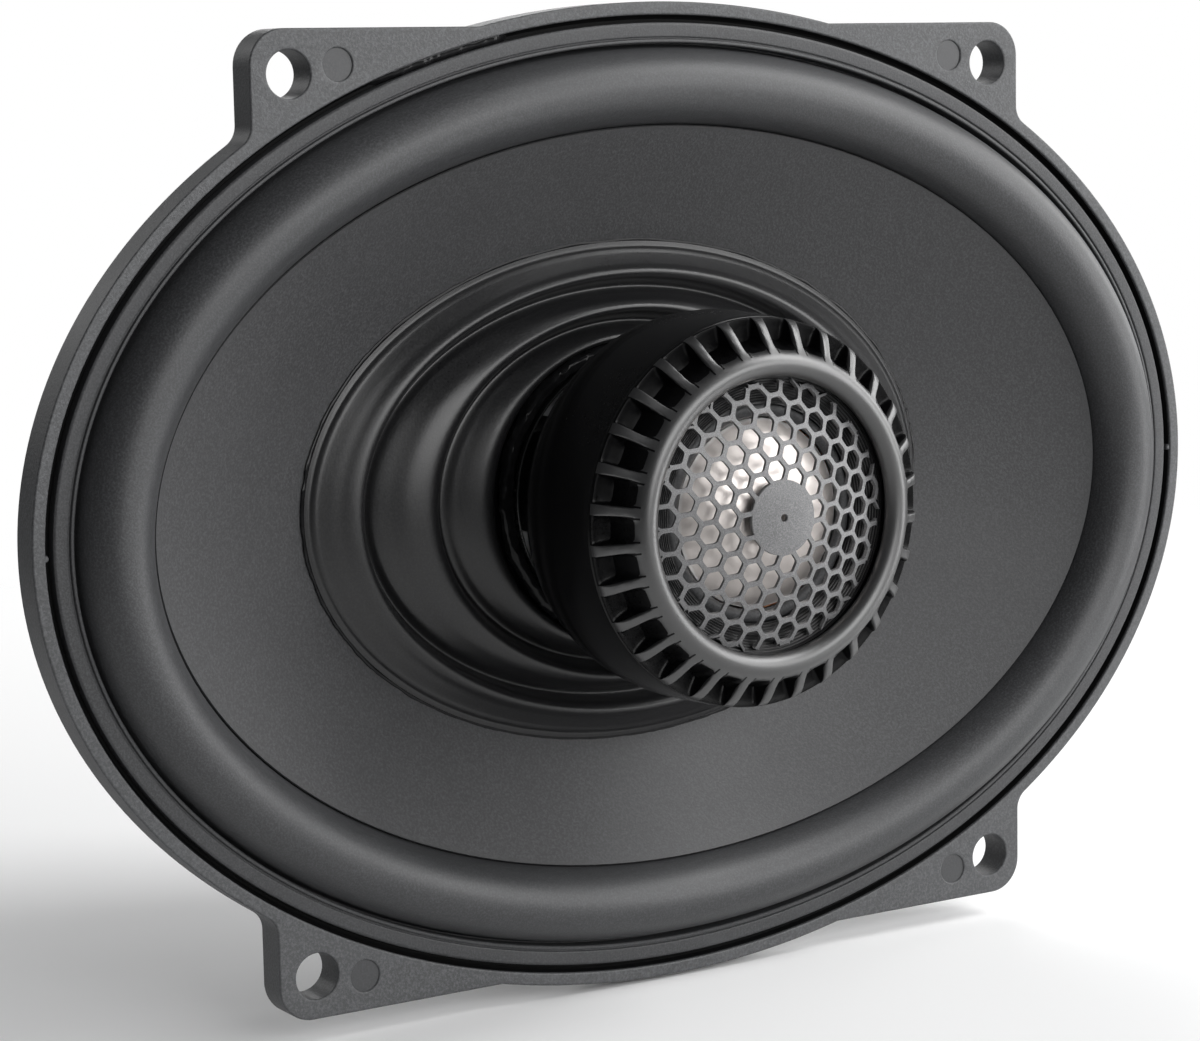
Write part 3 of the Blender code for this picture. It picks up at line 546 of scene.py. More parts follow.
def flange_plate():
    """The flange: oval, ears, screw holes and the step that the trim ring sits in."""
    recess = [tuple(point[:2]) for point in oval(RECESS_INSET, 0)]
    holes = [circle(x, y, SCREW_RADIUS) for x, y in corners(SCREW_X, SCREW_Y)]
    dents = [circle(x, y, MARK_RADIUS - EDGE) for x, y in corners(MARK_X, MARK_Y)]
    return plate_curve([flange_outline(), recess, *holes, *dents], 0, THICKNESS, EDGE)


LEGS = 8
LEG_HALF = 4.5
VENT_HALF = 7.5
RIB = (-LEG_HALF, -3.6, -1.3, -0.8, 0.8, 1.3, 3.6, LEG_HALF)


def spoke_angles(radius):
    """Angles of the basket's stations at a radius: even legs, with vents between them."""
    radius = max(radius, 38.0)
    step = 2 * math.pi / LEGS
    stations = []
    for index in range(LEGS):
        leg = index * step
        here = [leg + math.asin(offset / radius) for offset in RIB]
        vent = [leg + step / 2 + math.asin(offset * VENT_HALF / radius) for offset in (-1, -0.5, 0, 0.5, 1)]
        after = leg + step - math.asin(LEG_HALF / radius)
        gap = [here[-1] + (vent[0] - here[-1]) * share for share in (0.33, 0.67)]
        far = [vent[-1] + (after - vent[-1]) * share for share in (0.33, 0.67)]
        stations += here + gap + vent + far
    return stations


STATIONS = len(spoke_angles(40.0)) // LEGS


def shell_ring(inset, radius, depth, rib=0.0):
    """A ring of the basket: parallel to the oval if it has an inset, or else round."""
    ring = []
    for index, angle in enumerate(spoke_angles(radius or 62.0)):
        if inset is None:
            point = Vector((math.cos(angle), math.sin(angle))) * radius
        else:
            steered = math.atan2(HALF_LENGTH * math.sin(angle), HALF_HEIGHT * math.cos(angle))
            point = edge_point(steered, inset)
        raised = rib if index % STATIONS in (3, 4) else 0.0
        out = Vector((point.x, point.y, 0)).normalized() * raised * 0.7
        ring.append((point.x + out.x, point.y + out.y, depth + raised * 0.7))
    return ring


# Rings of the basket's two faces: inset or else radius, depth, and a leg's raised rib
BASKET_FRONT = [
    (1.2, None, RECESS_DEPTH), (6.4, None, RECESS_DEPTH), (7.2, None, 5.0), (10.5, None, 6.6),
    (None, 46.4, 19.6), (None, 44.1, 20.5), (None, 42.9, 22.0), (None, 38.5, 22.0), (None, 38.0, 26.2),
    (None, 37.5, 32.2), (None, 37.2, 33.7), (None, 22.0, 33.7),
]
BASKET_BACK = [
    (1.2, None, 4.4), (4.6, None, 4.9), (5.2, None, 7.0), (9.4, None, 9.0, 2.2),
    (None, 48.2, 22.4, 2.2), (None, 45.0, 23.7, 1.2), (None, 42.4, 24.3), (None, 41.2, 24.9),
    (None, 40.8, 26.2), (None, 40.2, 32.2), (None, 39.4, 36.0), (None, 22.0, 36.0),
]
WINDOW_ROW, VENT_ROW = 3, 8


def basket_shell():
    """Legs, spider ledge, vented lower wall and motor seat, as one walled grid."""
    bm = bmesh.new()
    rows = [[[bm.verts.new(point) for point in shell_ring(*ring)] for ring in side]
            for side in (BASKET_FRONT, BASKET_BACK)]
    last = len(BASKET_FRONT) - 1
    count = STATIONS * LEGS

    def hollow(row, station):
        """True where a window or a vent takes the place of the wall."""
        place = station % STATIONS
        if row == WINDOW_ROW:
            return len(RIB) - 1 <= place < STATIONS
        return row == VENT_ROW and len(RIB) + 2 <= place < len(RIB) + 6

    def wall(a, b):
        """A face through the thickness, along the edge between two points of the grid."""
        bm.faces.new((rows[0][a[0]][a[1]], rows[0][b[0]][b[1]], rows[1][b[0]][b[1]], rows[1][a[0]][a[1]]))

    for row in range(last):
        for station in range(count):
            side = (station + 1) % count
            if hollow(row, station):
                for there, edge in (
                        ((row - 1, station), ((row, station), (row, side))),
                        ((row + 1, station), ((row + 1, side), (row + 1, station))),
                        ((row, station - 1), ((row + 1, station), (row, station))),
                        ((row, side), ((row, side), (row + 1, side)))):
                    if not hollow(*there):
                        wall(*edge)
                continue
            for level in rows:
                bm.faces.new((level[row][station], level[row][side],
                              level[row + 1][side], level[row + 1][station]))
    for row in (0, last):
        for station in range(count):
            wall((row, station), (row, (station + 1) % count))
    return bm


def rivet_places():
    """Middles of the four rivets that hold the motor."""
    angles = [math.pi / 4 + math.pi / 2 * index for index in range(4)]
    return [(RIVET_CIRCLE * math.cos(angle), RIVET_CIRCLE * math.sin(angle)) for angle in angles]


def make_basket():
    """Flange and basket in one moulding, with ejector marks in its ears."""
    piece("basket_flange", flange_plate(), BODY, FLANGE, ["basket"])
    shell = basket_shell()
    pad = Matrix.Translation((0, 45.25, 23.1)) @ Matrix.Diagonal((34.0, 9.5, 2.2, 1))
    bmesh.ops.create_cube(shell, size=1, matrix=pad)
    piece("basket_frame", shell, BODY, FLANGE, bevel=0.35)
    for number, (x, y) in enumerate(corners(MARK_X, MARK_Y), start=1):
        mark = lathe([(0, 0.22), (MARK_RADIUS - 0.1, 0.22), (MARK_RADIUS - 0.1, 4.78), (0, 4.78)], 48)
        piece(f"ejector_mark_{number}", shifted(mark, (x, y, 0)), BODY, MARK, slot="basket_plastic")


# ---- surround, cone and neck

def make_trim_ring():
    """Clamping ring with a fine groove and a raised inner lip, and the flange's locating pips."""
    outline = [
        (2.75, 1.9), (2.75, 0.5), (2.81, 0.22), (2.98, 0.06), (3.2, 0.0), (4.5, 0.0), (4.62, 0.04),
        (4.7, 0.12), (4.74, 0.3), (4.9, 0.3), (4.94, 0.1), (5.02, -0.06), (5.15, -0.12), (5.32, -0.1),
        (5.44, 0.0), (5.5, 0.2), (5.5, 1.9),
    ]
    rings = [oval(inset, depth) for inset, depth in outline]
    piece("trim_ring", skin(rings), BODY, RING, ["trim_ring"])
    for name, side in (("left", -1), ("right", 1)):
        pip = lathe([(0, 0.2), (0.3, 0.2), (0.45, 0.4), (0.45, RECESS_DEPTH), (0, RECESS_DEPTH)], 24)
        piece(f"locating_pip_{name}", shifted(pip, (side * 90.2, 0, 0)), BODY, FLANGE)


SEAT_GLUE_START, SEAT_GLUE_END = math.radians(241.0), math.radians(255.5)


def make_seat_glue():
    """Adhesive bed between the flange and the trim ring, squeezed up at the upper left; the bed is matte
    near black, which paints the shade deep in the groove.
    """
    bed = [(1.45, 0.32), (1.72, 0.36), (1.85, 0.7), (2.0, 1.3), (2.3, 1.55), (2.8, 1.6), (2.8, 2.8),
           (1.45, 2.8)]
    # The bed's dark, dull finish is painted shade in the groove as well as glue.
    piece("seat_glue_and_shade_bed", skin([oval(inset, depth) for inset, depth in bed]), BODY, SEAT_GLUE_AND_SHADE, slot="glue")
    steps = 170
    rings = []
    for step in range(steps + 1):
        share = step / steps
        angle = SEAT_GLUE_START + (SEAT_GLUE_END - SEAT_GLUE_START) * share
        swell = min(1.0, 5 * share, 9 * (1 - share))
        lumps = noise.noise(Vector((share * 9, 0, 0))) + 0.5 * noise.noise(Vector((share * 26, 3, 0)))
        top = 1.6 - swell * (1.3 + 0.3 * lumps)
        lean = 0.15 * noise.noise(Vector((share * 14, 9, 0)))
        outline = [(2.8, 2.8), (2.8, top + 0.6), (2.6, top + 0.3), (2.2 + lean, top + 0.08),
                   (1.9 + lean, top), (1.7 + lean, top + 0.02), (1.45, top + 0.2), (1.5, 2.8)]
        rings.append([(*edge_point(angle, inset), depth) for inset, depth in outline])
    bm = skin(rings, closed=False)
    bmesh.ops.holes_fill(bm, edges=bm.edges)
    piece("seat_glue", bm, BODY, GLUE, sharp=math.radians(70))


def roll(thickness):
    """The surround's half-roll as (inset, depth) points, from its outer foot inwards."""
    points = []
    for step in range(ROLL_STEPS + 1):
        angle = math.pi * step / ROLL_STEPS
        points.append((ROLL_MIDDLE - (ROLL_HALF - thickness) * math.cos(angle),
                       ROLL_FOOT - (ROLL_FOOT + ROLL_HEIGHT - thickness) * math.sin(angle)))
    return points


def make_surround():
    """Rubber half-roll, held in the recess and glued behind the cone."""
    outline = [(2.9, 3.0), (2.9, ROLL_FOOT), (5.6, ROLL_FOOT)]
    outline += roll(0)[1:-1]
    outline += [(16.3, 1.7), (16.8, 2.1), (19.0, 3.3), (19.0, 3.3 + ROLL_WALL), (16.4, 3.0)]
    outline += roll(ROLL_WALL)[::-1]
    rings = [oval(inset, depth) for inset, depth in outline]
    made = piece("surround", skin(rings), None, RUBBER, ["surround"])

    def travel(point):
        """0 at the ring's lip and 1 at the cone, across the width of the roll."""
        x, y = point.x, point.z
        level = math.hypot(x / HALF_LENGTH, y / HALF_HEIGHT)
        steep = math.hypot(x / HALF_LENGTH ** 2, y / HALF_HEIGHT ** 2)
        inset = (1 - level) * level / steep
        return (inset - RING_INNER) / (CONE_INSET - RING_INNER - 0.4)

    flexing(made, travel)


def between(first, second, share):
    """A ring part of the way from one ring to another."""
    return [tuple(Vector(a).lerp(Vector(b), share)) for a, b in zip(first, second)]


def make_cone():
    """Shallow oval cone with a slightly hollow slope."""
    outer = oval(CONE_INSET, CONE_FRONT)
    inner = ellipse(*CONE_INNER)
    front = []
    for step in range(17):
        share = step / 16
        sag = CONE_HOLLOW * math.sin(math.pi * share)
        front.append([(x, y, z + sag) for x, y, z in between(outer, inner, share)])
    back = [[(x, y, z + CONE_WALL) for x, y, z in ring] for ring in reversed(front)]
    lip = [oval(CONE_INSET - 0.15, CONE_FRONT + 0.2)]
    piece("cone", skin(front + back + lip), CONE, PULP, ["cone"])


RIPPLES = [
    (49.9, 34.4, 10.75), (49.5, 34.0, 10.6), (49.2, 33.7, 10.5), (48.9, 33.4, 10.25), (48.6, 33.1, 10.08),
    (48.2, 32.85, 9.95), (47.5, 32.4, 9.65), (46.6, 31.85, 9.25), (45.5, 31.3, 8.8), (44.4, 30.9, 8.3),
    (43.5, 30.5, 8.0), (42.8, 30.1, 8.0), (42.3, 29.7, 8.35), (41.95, 29.35, 9.0), (41.6, 28.9, 10.2),
    (41.3, 28.4, 10.9), (40.9, 27.9, 10.75), (40.4, 27.5, 10.2), (39.8, 27.3, 9.8), (38.0, 26.95, 9.0),
    (36.0, 26.5, 8.1), (34.0, 26.0, 7.5), (32.8, 25.65, 7.3), (32.0, 25.3, 7.4), (31.4, 24.95, 7.9),
    (30.9, 24.55, 8.9), (30.3, 24.1, 10.2), (29.7, 23.7, 10.9), (29.0, 23.25, 10.75), (28.2, 22.9, 10.2),
    (27.4, 22.7, 9.8), (26.0, 22.35, 9.1), (24.6, 22.0, 8.5), (23.6, 21.7, 8.25), (22.9, 21.4, 8.3),
    (22.3, 21.1, 8.9), (21.6, 20.8, 10.3), (21.0, 20.5, 11.0), (20.3, 20.1, 11.2), (19.2, 19.2, 11.3),
]


def make_centre():
    """Inner cone, whose ripples turn from oval to round, and the glue round its rim."""
    profile = smooth(RIPPLES, 4)
    front = [ellipse(x, y, z) for x, y, z in profile]
    back = [ellipse(x, y, z + CENTRE_WALL) for x, y, z in reversed(profile)]
    piece("corrugated_centre", skin(front + back), CONE, CENTRE, ["corrugated_centre"],
          sharp=math.radians(60))
    rings = []
    for spin in turns(10):
        ring = []
        for angle in turns(OVAL_STEPS * 2):
            here = Vector((math.cos(angle), math.sin(angle), 0))
            size = 0.18 + 0.08 * noise.noise(here * 21) + 0.05 * noise.noise(here * 57)
            reach = 50.0 + 0.2 * noise.noise(here * 9) + size * 1.7 * math.cos(spin)
            ring.append((here.x * reach, here.y * (reach - 15.5), 10.95 + 0.7 * size * math.sin(spin)))
        rings.append(ring)
    piece("rim_glue", skin(rings), CONE, GLUE)


def make_neck():
    """Glue bead at the neck, coil former and winding."""
    bead = []
    for spin in turns(20):
        bead.append([])
        for angle in turns(ROUND_STEPS * 2):
            here = Vector((math.cos(angle), math.sin(angle), math.sin(spin) * 0.25))
            size = 1.0 + 0.28 * noise.noise(here * 5) + 0.16 * noise.noise(here * 19)
            radius = 19.95 + 1.05 * size * math.cos(spin)
            bead[-1].append((here.x * radius, here.y * radius, 9.85 + 1.1 * size * math.sin(spin)))
    piece("neck_adhesive", skin(bead), CONE, GLUE, ["neck_adhesive"])
    former = [(18.5, 44.0), (18.8, 44.0), (18.8, 8.7), (18.72, 8.6), (18.58, 8.6), (18.5, 8.7)]
    turned("coil_former", former, CONE, FORMER)
    outline = [(19.1, COIL_REAR)]
    pitch = COIL_LENGTH / COIL_TURNS
    for index in range(COIL_TURNS):
        middle = COIL_REAR - pitch * (index + 0.5)
        outline += [(19.62, middle + pitch * 0.45), (19.84, middle + pitch * 0.2),
                    (19.84, middle - pitch * 0.2), (19.62, middle - pitch * 0.45)]
    outline.append((19.1, COIL_REAR - COIL_LENGTH))
    turned("voice_coil", outline, CONE, COPPER)


def make_spider():
    """Corrugated cloth disc."""
    front = [(42.4, 21.2), (38.6, 21.2)]
    for step in range(113):
        radius = SPIDER_OUTER - 17.0 * step / 112
        wave = math.cos(2 * math.pi * (SPIDER_OUTER - radius) / SPIDER_WAVE)
        front.append((radius, 20.35 + 0.85 * wave))
    front += [(20.2, 20.6), (19.1, 20.2)]
    back = [(radius, depth + SPIDER_WALL) for radius, depth in reversed(front)]
    made = turned("spider", front + back, None, CLOTH)
    flexing(made, lambda point: (38.6 - math.hypot(point.x, point.z)) / 18.0)


# ---- motor

def make_motor():
    """Top plate, magnet, yoke and rivets."""
    plate = [(20.4, 41.3), (36.5, 41.3), (36.5, 36.3), (20.4, 36.3)]
    turned("top_plate", plate, BODY, STEEL, bevel=0.4)
    ring = [(24.5, 53.9), (37.5, 53.9), (37.5, 41.6), (24.5, 41.6)]
    turned("magnet", ring, BODY, FERRITE, bevel=0.8)
    yoke = [
        (33.4, 59.2), (34.4, 58.6), (35.0, 57.6), (35.0, 54.2), (18.0, 54.2), (18.0, 36.2), (17.3, 35.5),
        (4.5, 35.5), (4.5, 58.7), (5.0, 59.2), (12.0, 59.2), (12.3, 58.9), (13.1, 58.9), (13.4, 59.2),
    ]
    turned("yoke", yoke, BODY, STEEL, bevel=0.15)
    for number, (x, y) in enumerate(rivet_places(), start=1):
        outline = [(0, 39.7), (1.7, 39.7), (1.7, 33.4), (3.1, 33.4), (3.2, 33.1), (2.9, 32.5), (2.2, 32.1),
                   (0, 31.95)]
        piece(f"basket_rivet_{number}", shifted(lathe(outline, 40), (x, y, 0)), BODY, STEEL,
              [f"basket_rivet_{number}"], bevel=0.12)


# ---- terminals and wires

def blade_plate(width):
    """Push-on blade with a rounded end and a hole."""
    half = width / 2
    contour = [(-half, 44.0), (half, 44.0), (half, 60.6), (half - 0.3, 61.2), (half - 1.2, 62.0),
               (1.2 - half, 62.0), (0.3 - half, 61.2), (-half, 60.6)]
    holes = [circle(0, 59.0, 0.9, 24), circle(0, TERMINAL_RIVET_Y, TERMINAL_HOLE, 24)]
    return plate_curve([contour, *holes], 26.8, 27.6, 0.12)


SOLDER = [(0, 28.95), (0.5, 28.85), (0.9, 28.5), (1.15, 27.95), (1.2, 27.62), (0, 27.62)]
CAPACITOR_LEAD = [
    (1.3, 43.9, 31.0), (1.4, 43.0, 30.9), (2.4, 42.6, 30.4), (5.0, 43.2, 29.2), (8.0, 44.2, 28.4),
    (9.0, 44.5, 28.2),
]


def make_terminals():
    """Fibre board with two blades, their rivets, and the tweeter's capacitor."""
    contour = []
    for x, y, start in ((15.0, 52.0, 0), (-15.0, 52.0, 90), (-15.0, 43.0, 180), (15.0, 43.0, 270)):
        contour += arc((x, y), 1.0, math.radians(start), math.radians(start + 90), 6)
    holes = [circle(side * TERMINAL_X, TERMINAL_RIVET_Y, TERMINAL_HOLE, 24) for side in (1, -1)]
    piece("terminal_board", plate_curve([contour, *holes], 24.5, 26.5, 0.15), BODY, BOARD,
          ["terminal_board"])
    outline = [(0, 28.9), (1.3, 28.9), (1.9, 28.5), (2.2, 27.9), (1.2, 27.9), (1.2, 21.7), (2.0, 21.7),
               (1.6, 20.9), (0, 20.9)]
    for letter, name, side, width in (("a", "positive", 1, 6.3), ("b", "negative", -1, 4.8)):
        blade = shifted(blade_plate(width), (side * TERMINAL_X, 0, 0))
        piece(f"terminal_{name}", blade, BODY, TINNED, [f"terminal_{name}"])
        rivet = shifted(lathe(outline, 40), (side * TERMINAL_X, TERMINAL_RIVET_Y, 0))
        piece(f"terminal_rivet_{letter}", rivet, BODY, TINNED,
              [f"terminal_rivet_{letter}"], bevel=0.1)
        for kind, x in (("tinsel", 13.3), ("lead", 9.3)):
            bead = lathe(SOLDER, 28)
            roughen(bead, 0.9, 0.12)
            piece(f"solder_{kind}_{letter}", shifted(bead, (side * x, 44.4, 0)), BODY, TINNED)
    can = [
        (0, 13.5), (3.5, 13.5), (3.86, 13.4), (4.0, 13.05), (4.0, 2.3), (3.9, 2.0), (3.7, 1.8), (3.66, 1.6),
        (3.7, 1.4), (3.9, 1.2), (4.0, 1.0), (4.0, 0.45), (3.85, 0.12), (3.5, 0), (2.9, 0), (2.9, 0.25),
        (0, 0.25),
    ]
    capacitor = lathe(can, 72)
    bmesh.ops.rotate(capacitor, verts=capacitor.verts, matrix=Matrix.Rotation(-math.pi / 2, 3, "X"))
    piece("crossover_capacitor", shifted(capacitor, (0, 43.6, 31)), BODY, SLEEVE,
          ["crossover_capacitor"])
    for letter, side in (("a", 1), ("b", -1)):
        route = [(side * x, y, z) for x, y, z in CAPACITOR_LEAD]
        piece(f"capacitor_lead_{letter}", tube(smooth(route, 8), 0.3), BODY, TINNED)


TINSEL = [
    (13.4, 44.2, 28.4), (16.2, 44.4, 29.2), (19.0, 46.4, 26.8), (19.6, 48.4, 21.0),
    (18.0, 46.0, 16.6), (14.0, 36.0, 15.0), (10.4, 27.0, 14.8), (8.6, 20.2, 13.6),
]
LEAD = [
    (4.0, 0, -8.8), (1.6, 0, -6.0), (0.95, 0, 0), (0.95, 0, 20), (0.95, 0, 40), (0.95, 0, 60),
    (1.1, 0.6, 65.5), (2.4, 6.0, 66.4), (5.5, 16, 63.4), (8.2, 29, 61.0), (9.4, 36.0, 59.4),
    (9.6, 38.4, 54), (9.8, 38.6, 44), (9.8, 41.6, 35), (9.2, 44.2, 28.5),
]


def make_wires():
    """Braided leads to the moving coil, and insulated ones through the post to the tweeter."""
    for letter, side, coat in (("a", 1, LEAD_RED), ("b", -1, LEAD_BLACK)):
        route = smooth([(side * x, y, z) for x, y, z in TINSEL], 16)
        made = piece(f"tinsel_lead_{letter}", tube(route, 0.46, 16, 4, 0.9), None, BRAID,
                     [f"tinsel_lead_{letter}"], sharp=math.radians(70), slot="copper_winding")
        places = [TO_ROW @ point / MM for point in route]

        def travel(point, places=places):
            """0 at the terminal and 1 where the lead is glued to the coil."""
            nearest = min(range(len(places)), key=lambda index: (places[index] - point).length_squared)
            return nearest / (len(places) - 1)

        flexing(made, travel)
        route = smooth([(side * x, y, z) for x, y, z in LEAD], 10)
        piece(f"tweeter_lead_{letter}", tube(route, 0.6, 16), BODY, coat, [f"tweeter_lead_{letter}"])


# ---- tweeter

def make_post():
    """Hollow post, washer and hexagonal nut."""
    post = [
        (4.2, 64.7), (4.2, 35.2), (8.5, 35.2), (8.5, 34.2), (6.3, 33.4), (6.0, 32.6), (6.0, 1.3),
        (2.4, 1.3), (2.4, 65.0), (3.9, 65.0),
    ]
    turned("tweeter_post", post, BODY, POST, bevel=0.2, steps=72)
    washer = [(4.5, 60.5), (8.5, 60.5), (8.5, 59.5), (4.5, 59.5)]
    turned("post_washer", washer, BODY, STEEL, bevel=0.15, steps=72)
    points = [Vector(point) for point in circle(0, 0, NUT_RADIUS, 6)]
    hexagon = []
    for first, after in zip(points, points[1:] + points[:1]):
        hexagon += [tuple(first), tuple(first.lerp(after, 0.5))]
    nut = plate_curve([hexagon, circle(0, 0, 4.5)], 60.8, 64.3, 0.35)
    piece("post_nut", nut, BODY, STEEL, ["post_nut"])


def make_housing():
    """Bowl-shaped pod behind the bezel."""
    outside = smooth([
        (8.6, 9.0, 0), (11.5, 7.9, 0), (15.0, 6.0, 0), (19.1, 3.0, 0), (22.3, 0.0, 0), (25.0, -4.4, 0),
        (POD_RADIUS, -9.0, 0), (POD_RADIUS, -14.0, 0), (25.7, -19.9, 0)], 6)
    outline = [(point.x, point.y) for point in outside]
    outline += [(25.62, -20.35), (25.4, -20.5), (23.5, -20.5), (23.6, -8.0), (12.0, -1.5), (3.0, -1.0),
                (3.0, 0.9), (6.3, 0.9), (6.3, 8.8), (6.5, 9.0)]
    turned("tweeter_housing", outline, BODY, POD, steps=192)


FIN = [
    (25.6, -20.8), (25.56, -21.15), (25.42, -21.6), (25.15, -22.1), (24.75, -22.6), (24.2, -23.1),
    (23.5, -23.62), (22.7, -24.18), (22.0, -24.7), (21.45, -25.2),
]
POCKET = [
    (25.6, -20.8), (25.6, -21.0), (25.52, -21.1), (25.35, -21.12), (25.0, -21.0), (24.3, -20.95),
    (23.2, -20.92), (22.6, -21.0), (22.0, -22.8), (21.5, -25.0),
]
CORNER_START, CORNER_BULGE = 0.9, 1.3
CREST = [
    (21.1, -25.55), (20.75, -25.88), (20.3, -26.15), (19.85, -26.27), (19.4, -26.24), (19.0, -26.1),
    (18.65, -25.85), (18.35, -25.5), (18.17, -25.15), (18.1, -24.8), (18.12, -24.5), (18.3, -24.3),
    (18.6, -24.2), (19.3, -24.2), (19.3, -20.8),
]
POCKET_STATIONS = (
    (0.0, 1.0), (0.6, 1.0), (1.1, 1.0), (1.35, 0.97), (1.5, 0.9), (1.57, 0.75), (1.6, 0.5),
    (1.62, 0.22), (1.67, 0.1), (1.74, 0.03), (1.84, 0.0),
)


def pocket_spread(radius):
    """How much wider than at its inner end a pocket is at a radius."""
    return 1 + 0.05 * max(0.0, radius - FIN[-1][0])


def make_bezel():
    """Finned ring: each station across a pocket mixes the fin's and pocket's sections."""
    mirrored = [(-offset, share) for offset, share in reversed(POCKET_STATIONS[1:])]
    stations = mirrored + list(POCKET_STATIONS)
    rings = [[] for _ in FIN + CREST]
    for index in range(POCKETS):
        middle = 2 * math.pi * index / POCKETS
        for offset, share in [*stations, (None, 0.0)]:
            bulge = CORNER_BULGE * max(0.0, abs(offset or 0.0) - CORNER_START) ** 2
            section = [Vector(fin).lerp(Vector(pocket), share) for fin, pocket in zip(FIN, POCKET)]
            for point in section[-3:]:
                point += Vector((1.0, 0.75)) * bulge * share
            for ring, (radius, depth) in zip(rings, [*section, *CREST]):
                turn = math.pi / POCKETS
                if offset is not None:
                    turn = math.asin(offset * pocket_spread(radius) / radius)
                ring.append((radius * math.cos(middle + turn), radius * math.sin(middle + turn), depth))
    bm = skin(rings)
    spacing = 2 * math.pi / POCKETS
    for face in bm.faces:
        middle = face.calc_center_median()
        turn = (math.atan2(middle.y, middle.x) + spacing / 2) % spacing - spacing / 2
        radius = math.hypot(middle.x, middle.y)
        inside = abs(radius * math.sin(turn)) < (POCKET_HALF + 0.03) * pocket_spread(radius)
        inside = inside and radius > FIN[-1][0]
        # Faces inside a pocket take the second material, which paints shade into the pockets.
        face.material_index = int(inside and middle.z > FIN[-1][1] - 0.1)
    piece("tweeter_bezel", bm, BODY, BEZEL, ["tweeter_bezel"],
          sharp=math.radians(40), second=POCKET_SHADE)


def cell_places():
    """Middles of the screen's hexagonal cells."""
    places = []
    for i in range(-CELL_RINGS, CELL_RINGS + 1):
        for j in range(-CELL_RINGS, CELL_RINGS + 1):
            if max(abs(i), abs(j), abs(i + j)) <= CELL_RINGS:
                places.append((CELL_PITCH * (i + j / 2), CELL_PITCH * j * math.sqrt(3) / 2))
    return places


def screen_depth(radius):
    """Depth of the domed screen's front at a radius."""
    return SCREEN_FRONT + SCREEN_SPHERE - math.sqrt(SCREEN_SPHERE ** 2 - radius ** 2)


def make_screen():
    """Domed honeycomb screen, jagged at its edge, with a solid middle and a pin hole."""
    bm = bmesh.new()
    for x, y in cell_places():
        bmesh.ops.create_circle(bm, cap_ends=True, segments=6, radius=CELL_PITCH / math.sqrt(3),
                                matrix=Matrix.Translation((x, y, 0)))
    bmesh.ops.remove_doubles(bm, verts=bm.verts, dist=0.01)
    cells = [face for face in bm.faces if face.calc_center_median().length > CELL_PITCH * 1.5]
    middle = [face for face in bm.faces if face.calc_center_median().length < CELL_PITCH * 1.5]
    bmesh.ops.inset_individual(bm, faces=cells, thickness=CELL_WEB / 2)
    bmesh.ops.delete(bm, geom=middle, context="FACES")
    points = list({vert for face in cells for vert in face.verts})
    bmesh.ops.bevel(bm, geom=points, affect="VERTICES", offset=0.28, segments=2, profile=0.5)
    cells = [face for face in bm.faces if len(face.verts) > 12]
    bmesh.ops.delete(bm, geom=cells, context="FACES_ONLY")
    outside = [face for face in bm.faces if face.calc_center_median().length > SCREEN_RADIUS]
    bmesh.ops.delete(bm, geom=outside, context="FACES")
    bmesh.ops.rotate(bm, verts=bm.verts, matrix=Matrix.Rotation(SCREEN_TURN, 3, "Z"))
    for vert in bm.verts:
        vert.co.z = screen_depth(vert.co.length)
    bmesh.ops.recalc_face_normals(bm, faces=bm.faces)
    bmesh.ops.solidify(bm, geom=bm.faces, thickness=SCREEN_SHEET)
    rise = min(vert.co.z - screen_depth(vert.co.xy.length) for vert in bm.verts)
    shifted(bm, (0, 0, 0.02 - rise))
    piece("tweeter_grille", bm, BODY, SCREEN, ["tweeter_grille"], bevel=0.09)
    radii = [0.5, 0.56] + [0.7 + (SOLID_RADIUS - 0.7) * step / 12 for step in range(13)]
    top = [(radius, screen_depth(radius) + (0.06 if radius == 0.5 else 0)) for radius in radii]
    top.append((SOLID_RADIUS + 0.07, screen_depth(SOLID_RADIUS) + 0.08))
    under = [(radius, depth + SCREEN_SHEET) for radius, depth in reversed(top)]
    piece("tweeter_grille_disc", lathe(top + under, 96), BODY, SCREEN)


def make_waveguide():
    """Ribbed ring between the dome and the bezel."""
    outline = [(23.2, -19.0), (23.2, -20.5), (19.0, -20.5), (19.0, -23.1), (18.7, -23.3)]
    for index in range(11):
        radius = 18.5 - 0.36 * index
        depth = -23.3 + 0.13 * index
        outline += [(radius, depth), (radius - 0.1, depth - 0.1), (radius - 0.22, depth - 0.08),
                    (radius - 0.28, depth + 0.12)]
    outline += [(14.4, -21.9), (14.4, -21.4), (14.8, -21.2), (16.4, -21.2), (16.4, -19.0)]
    turned("tweeter_waveguide", outline, BODY, GUIDE)


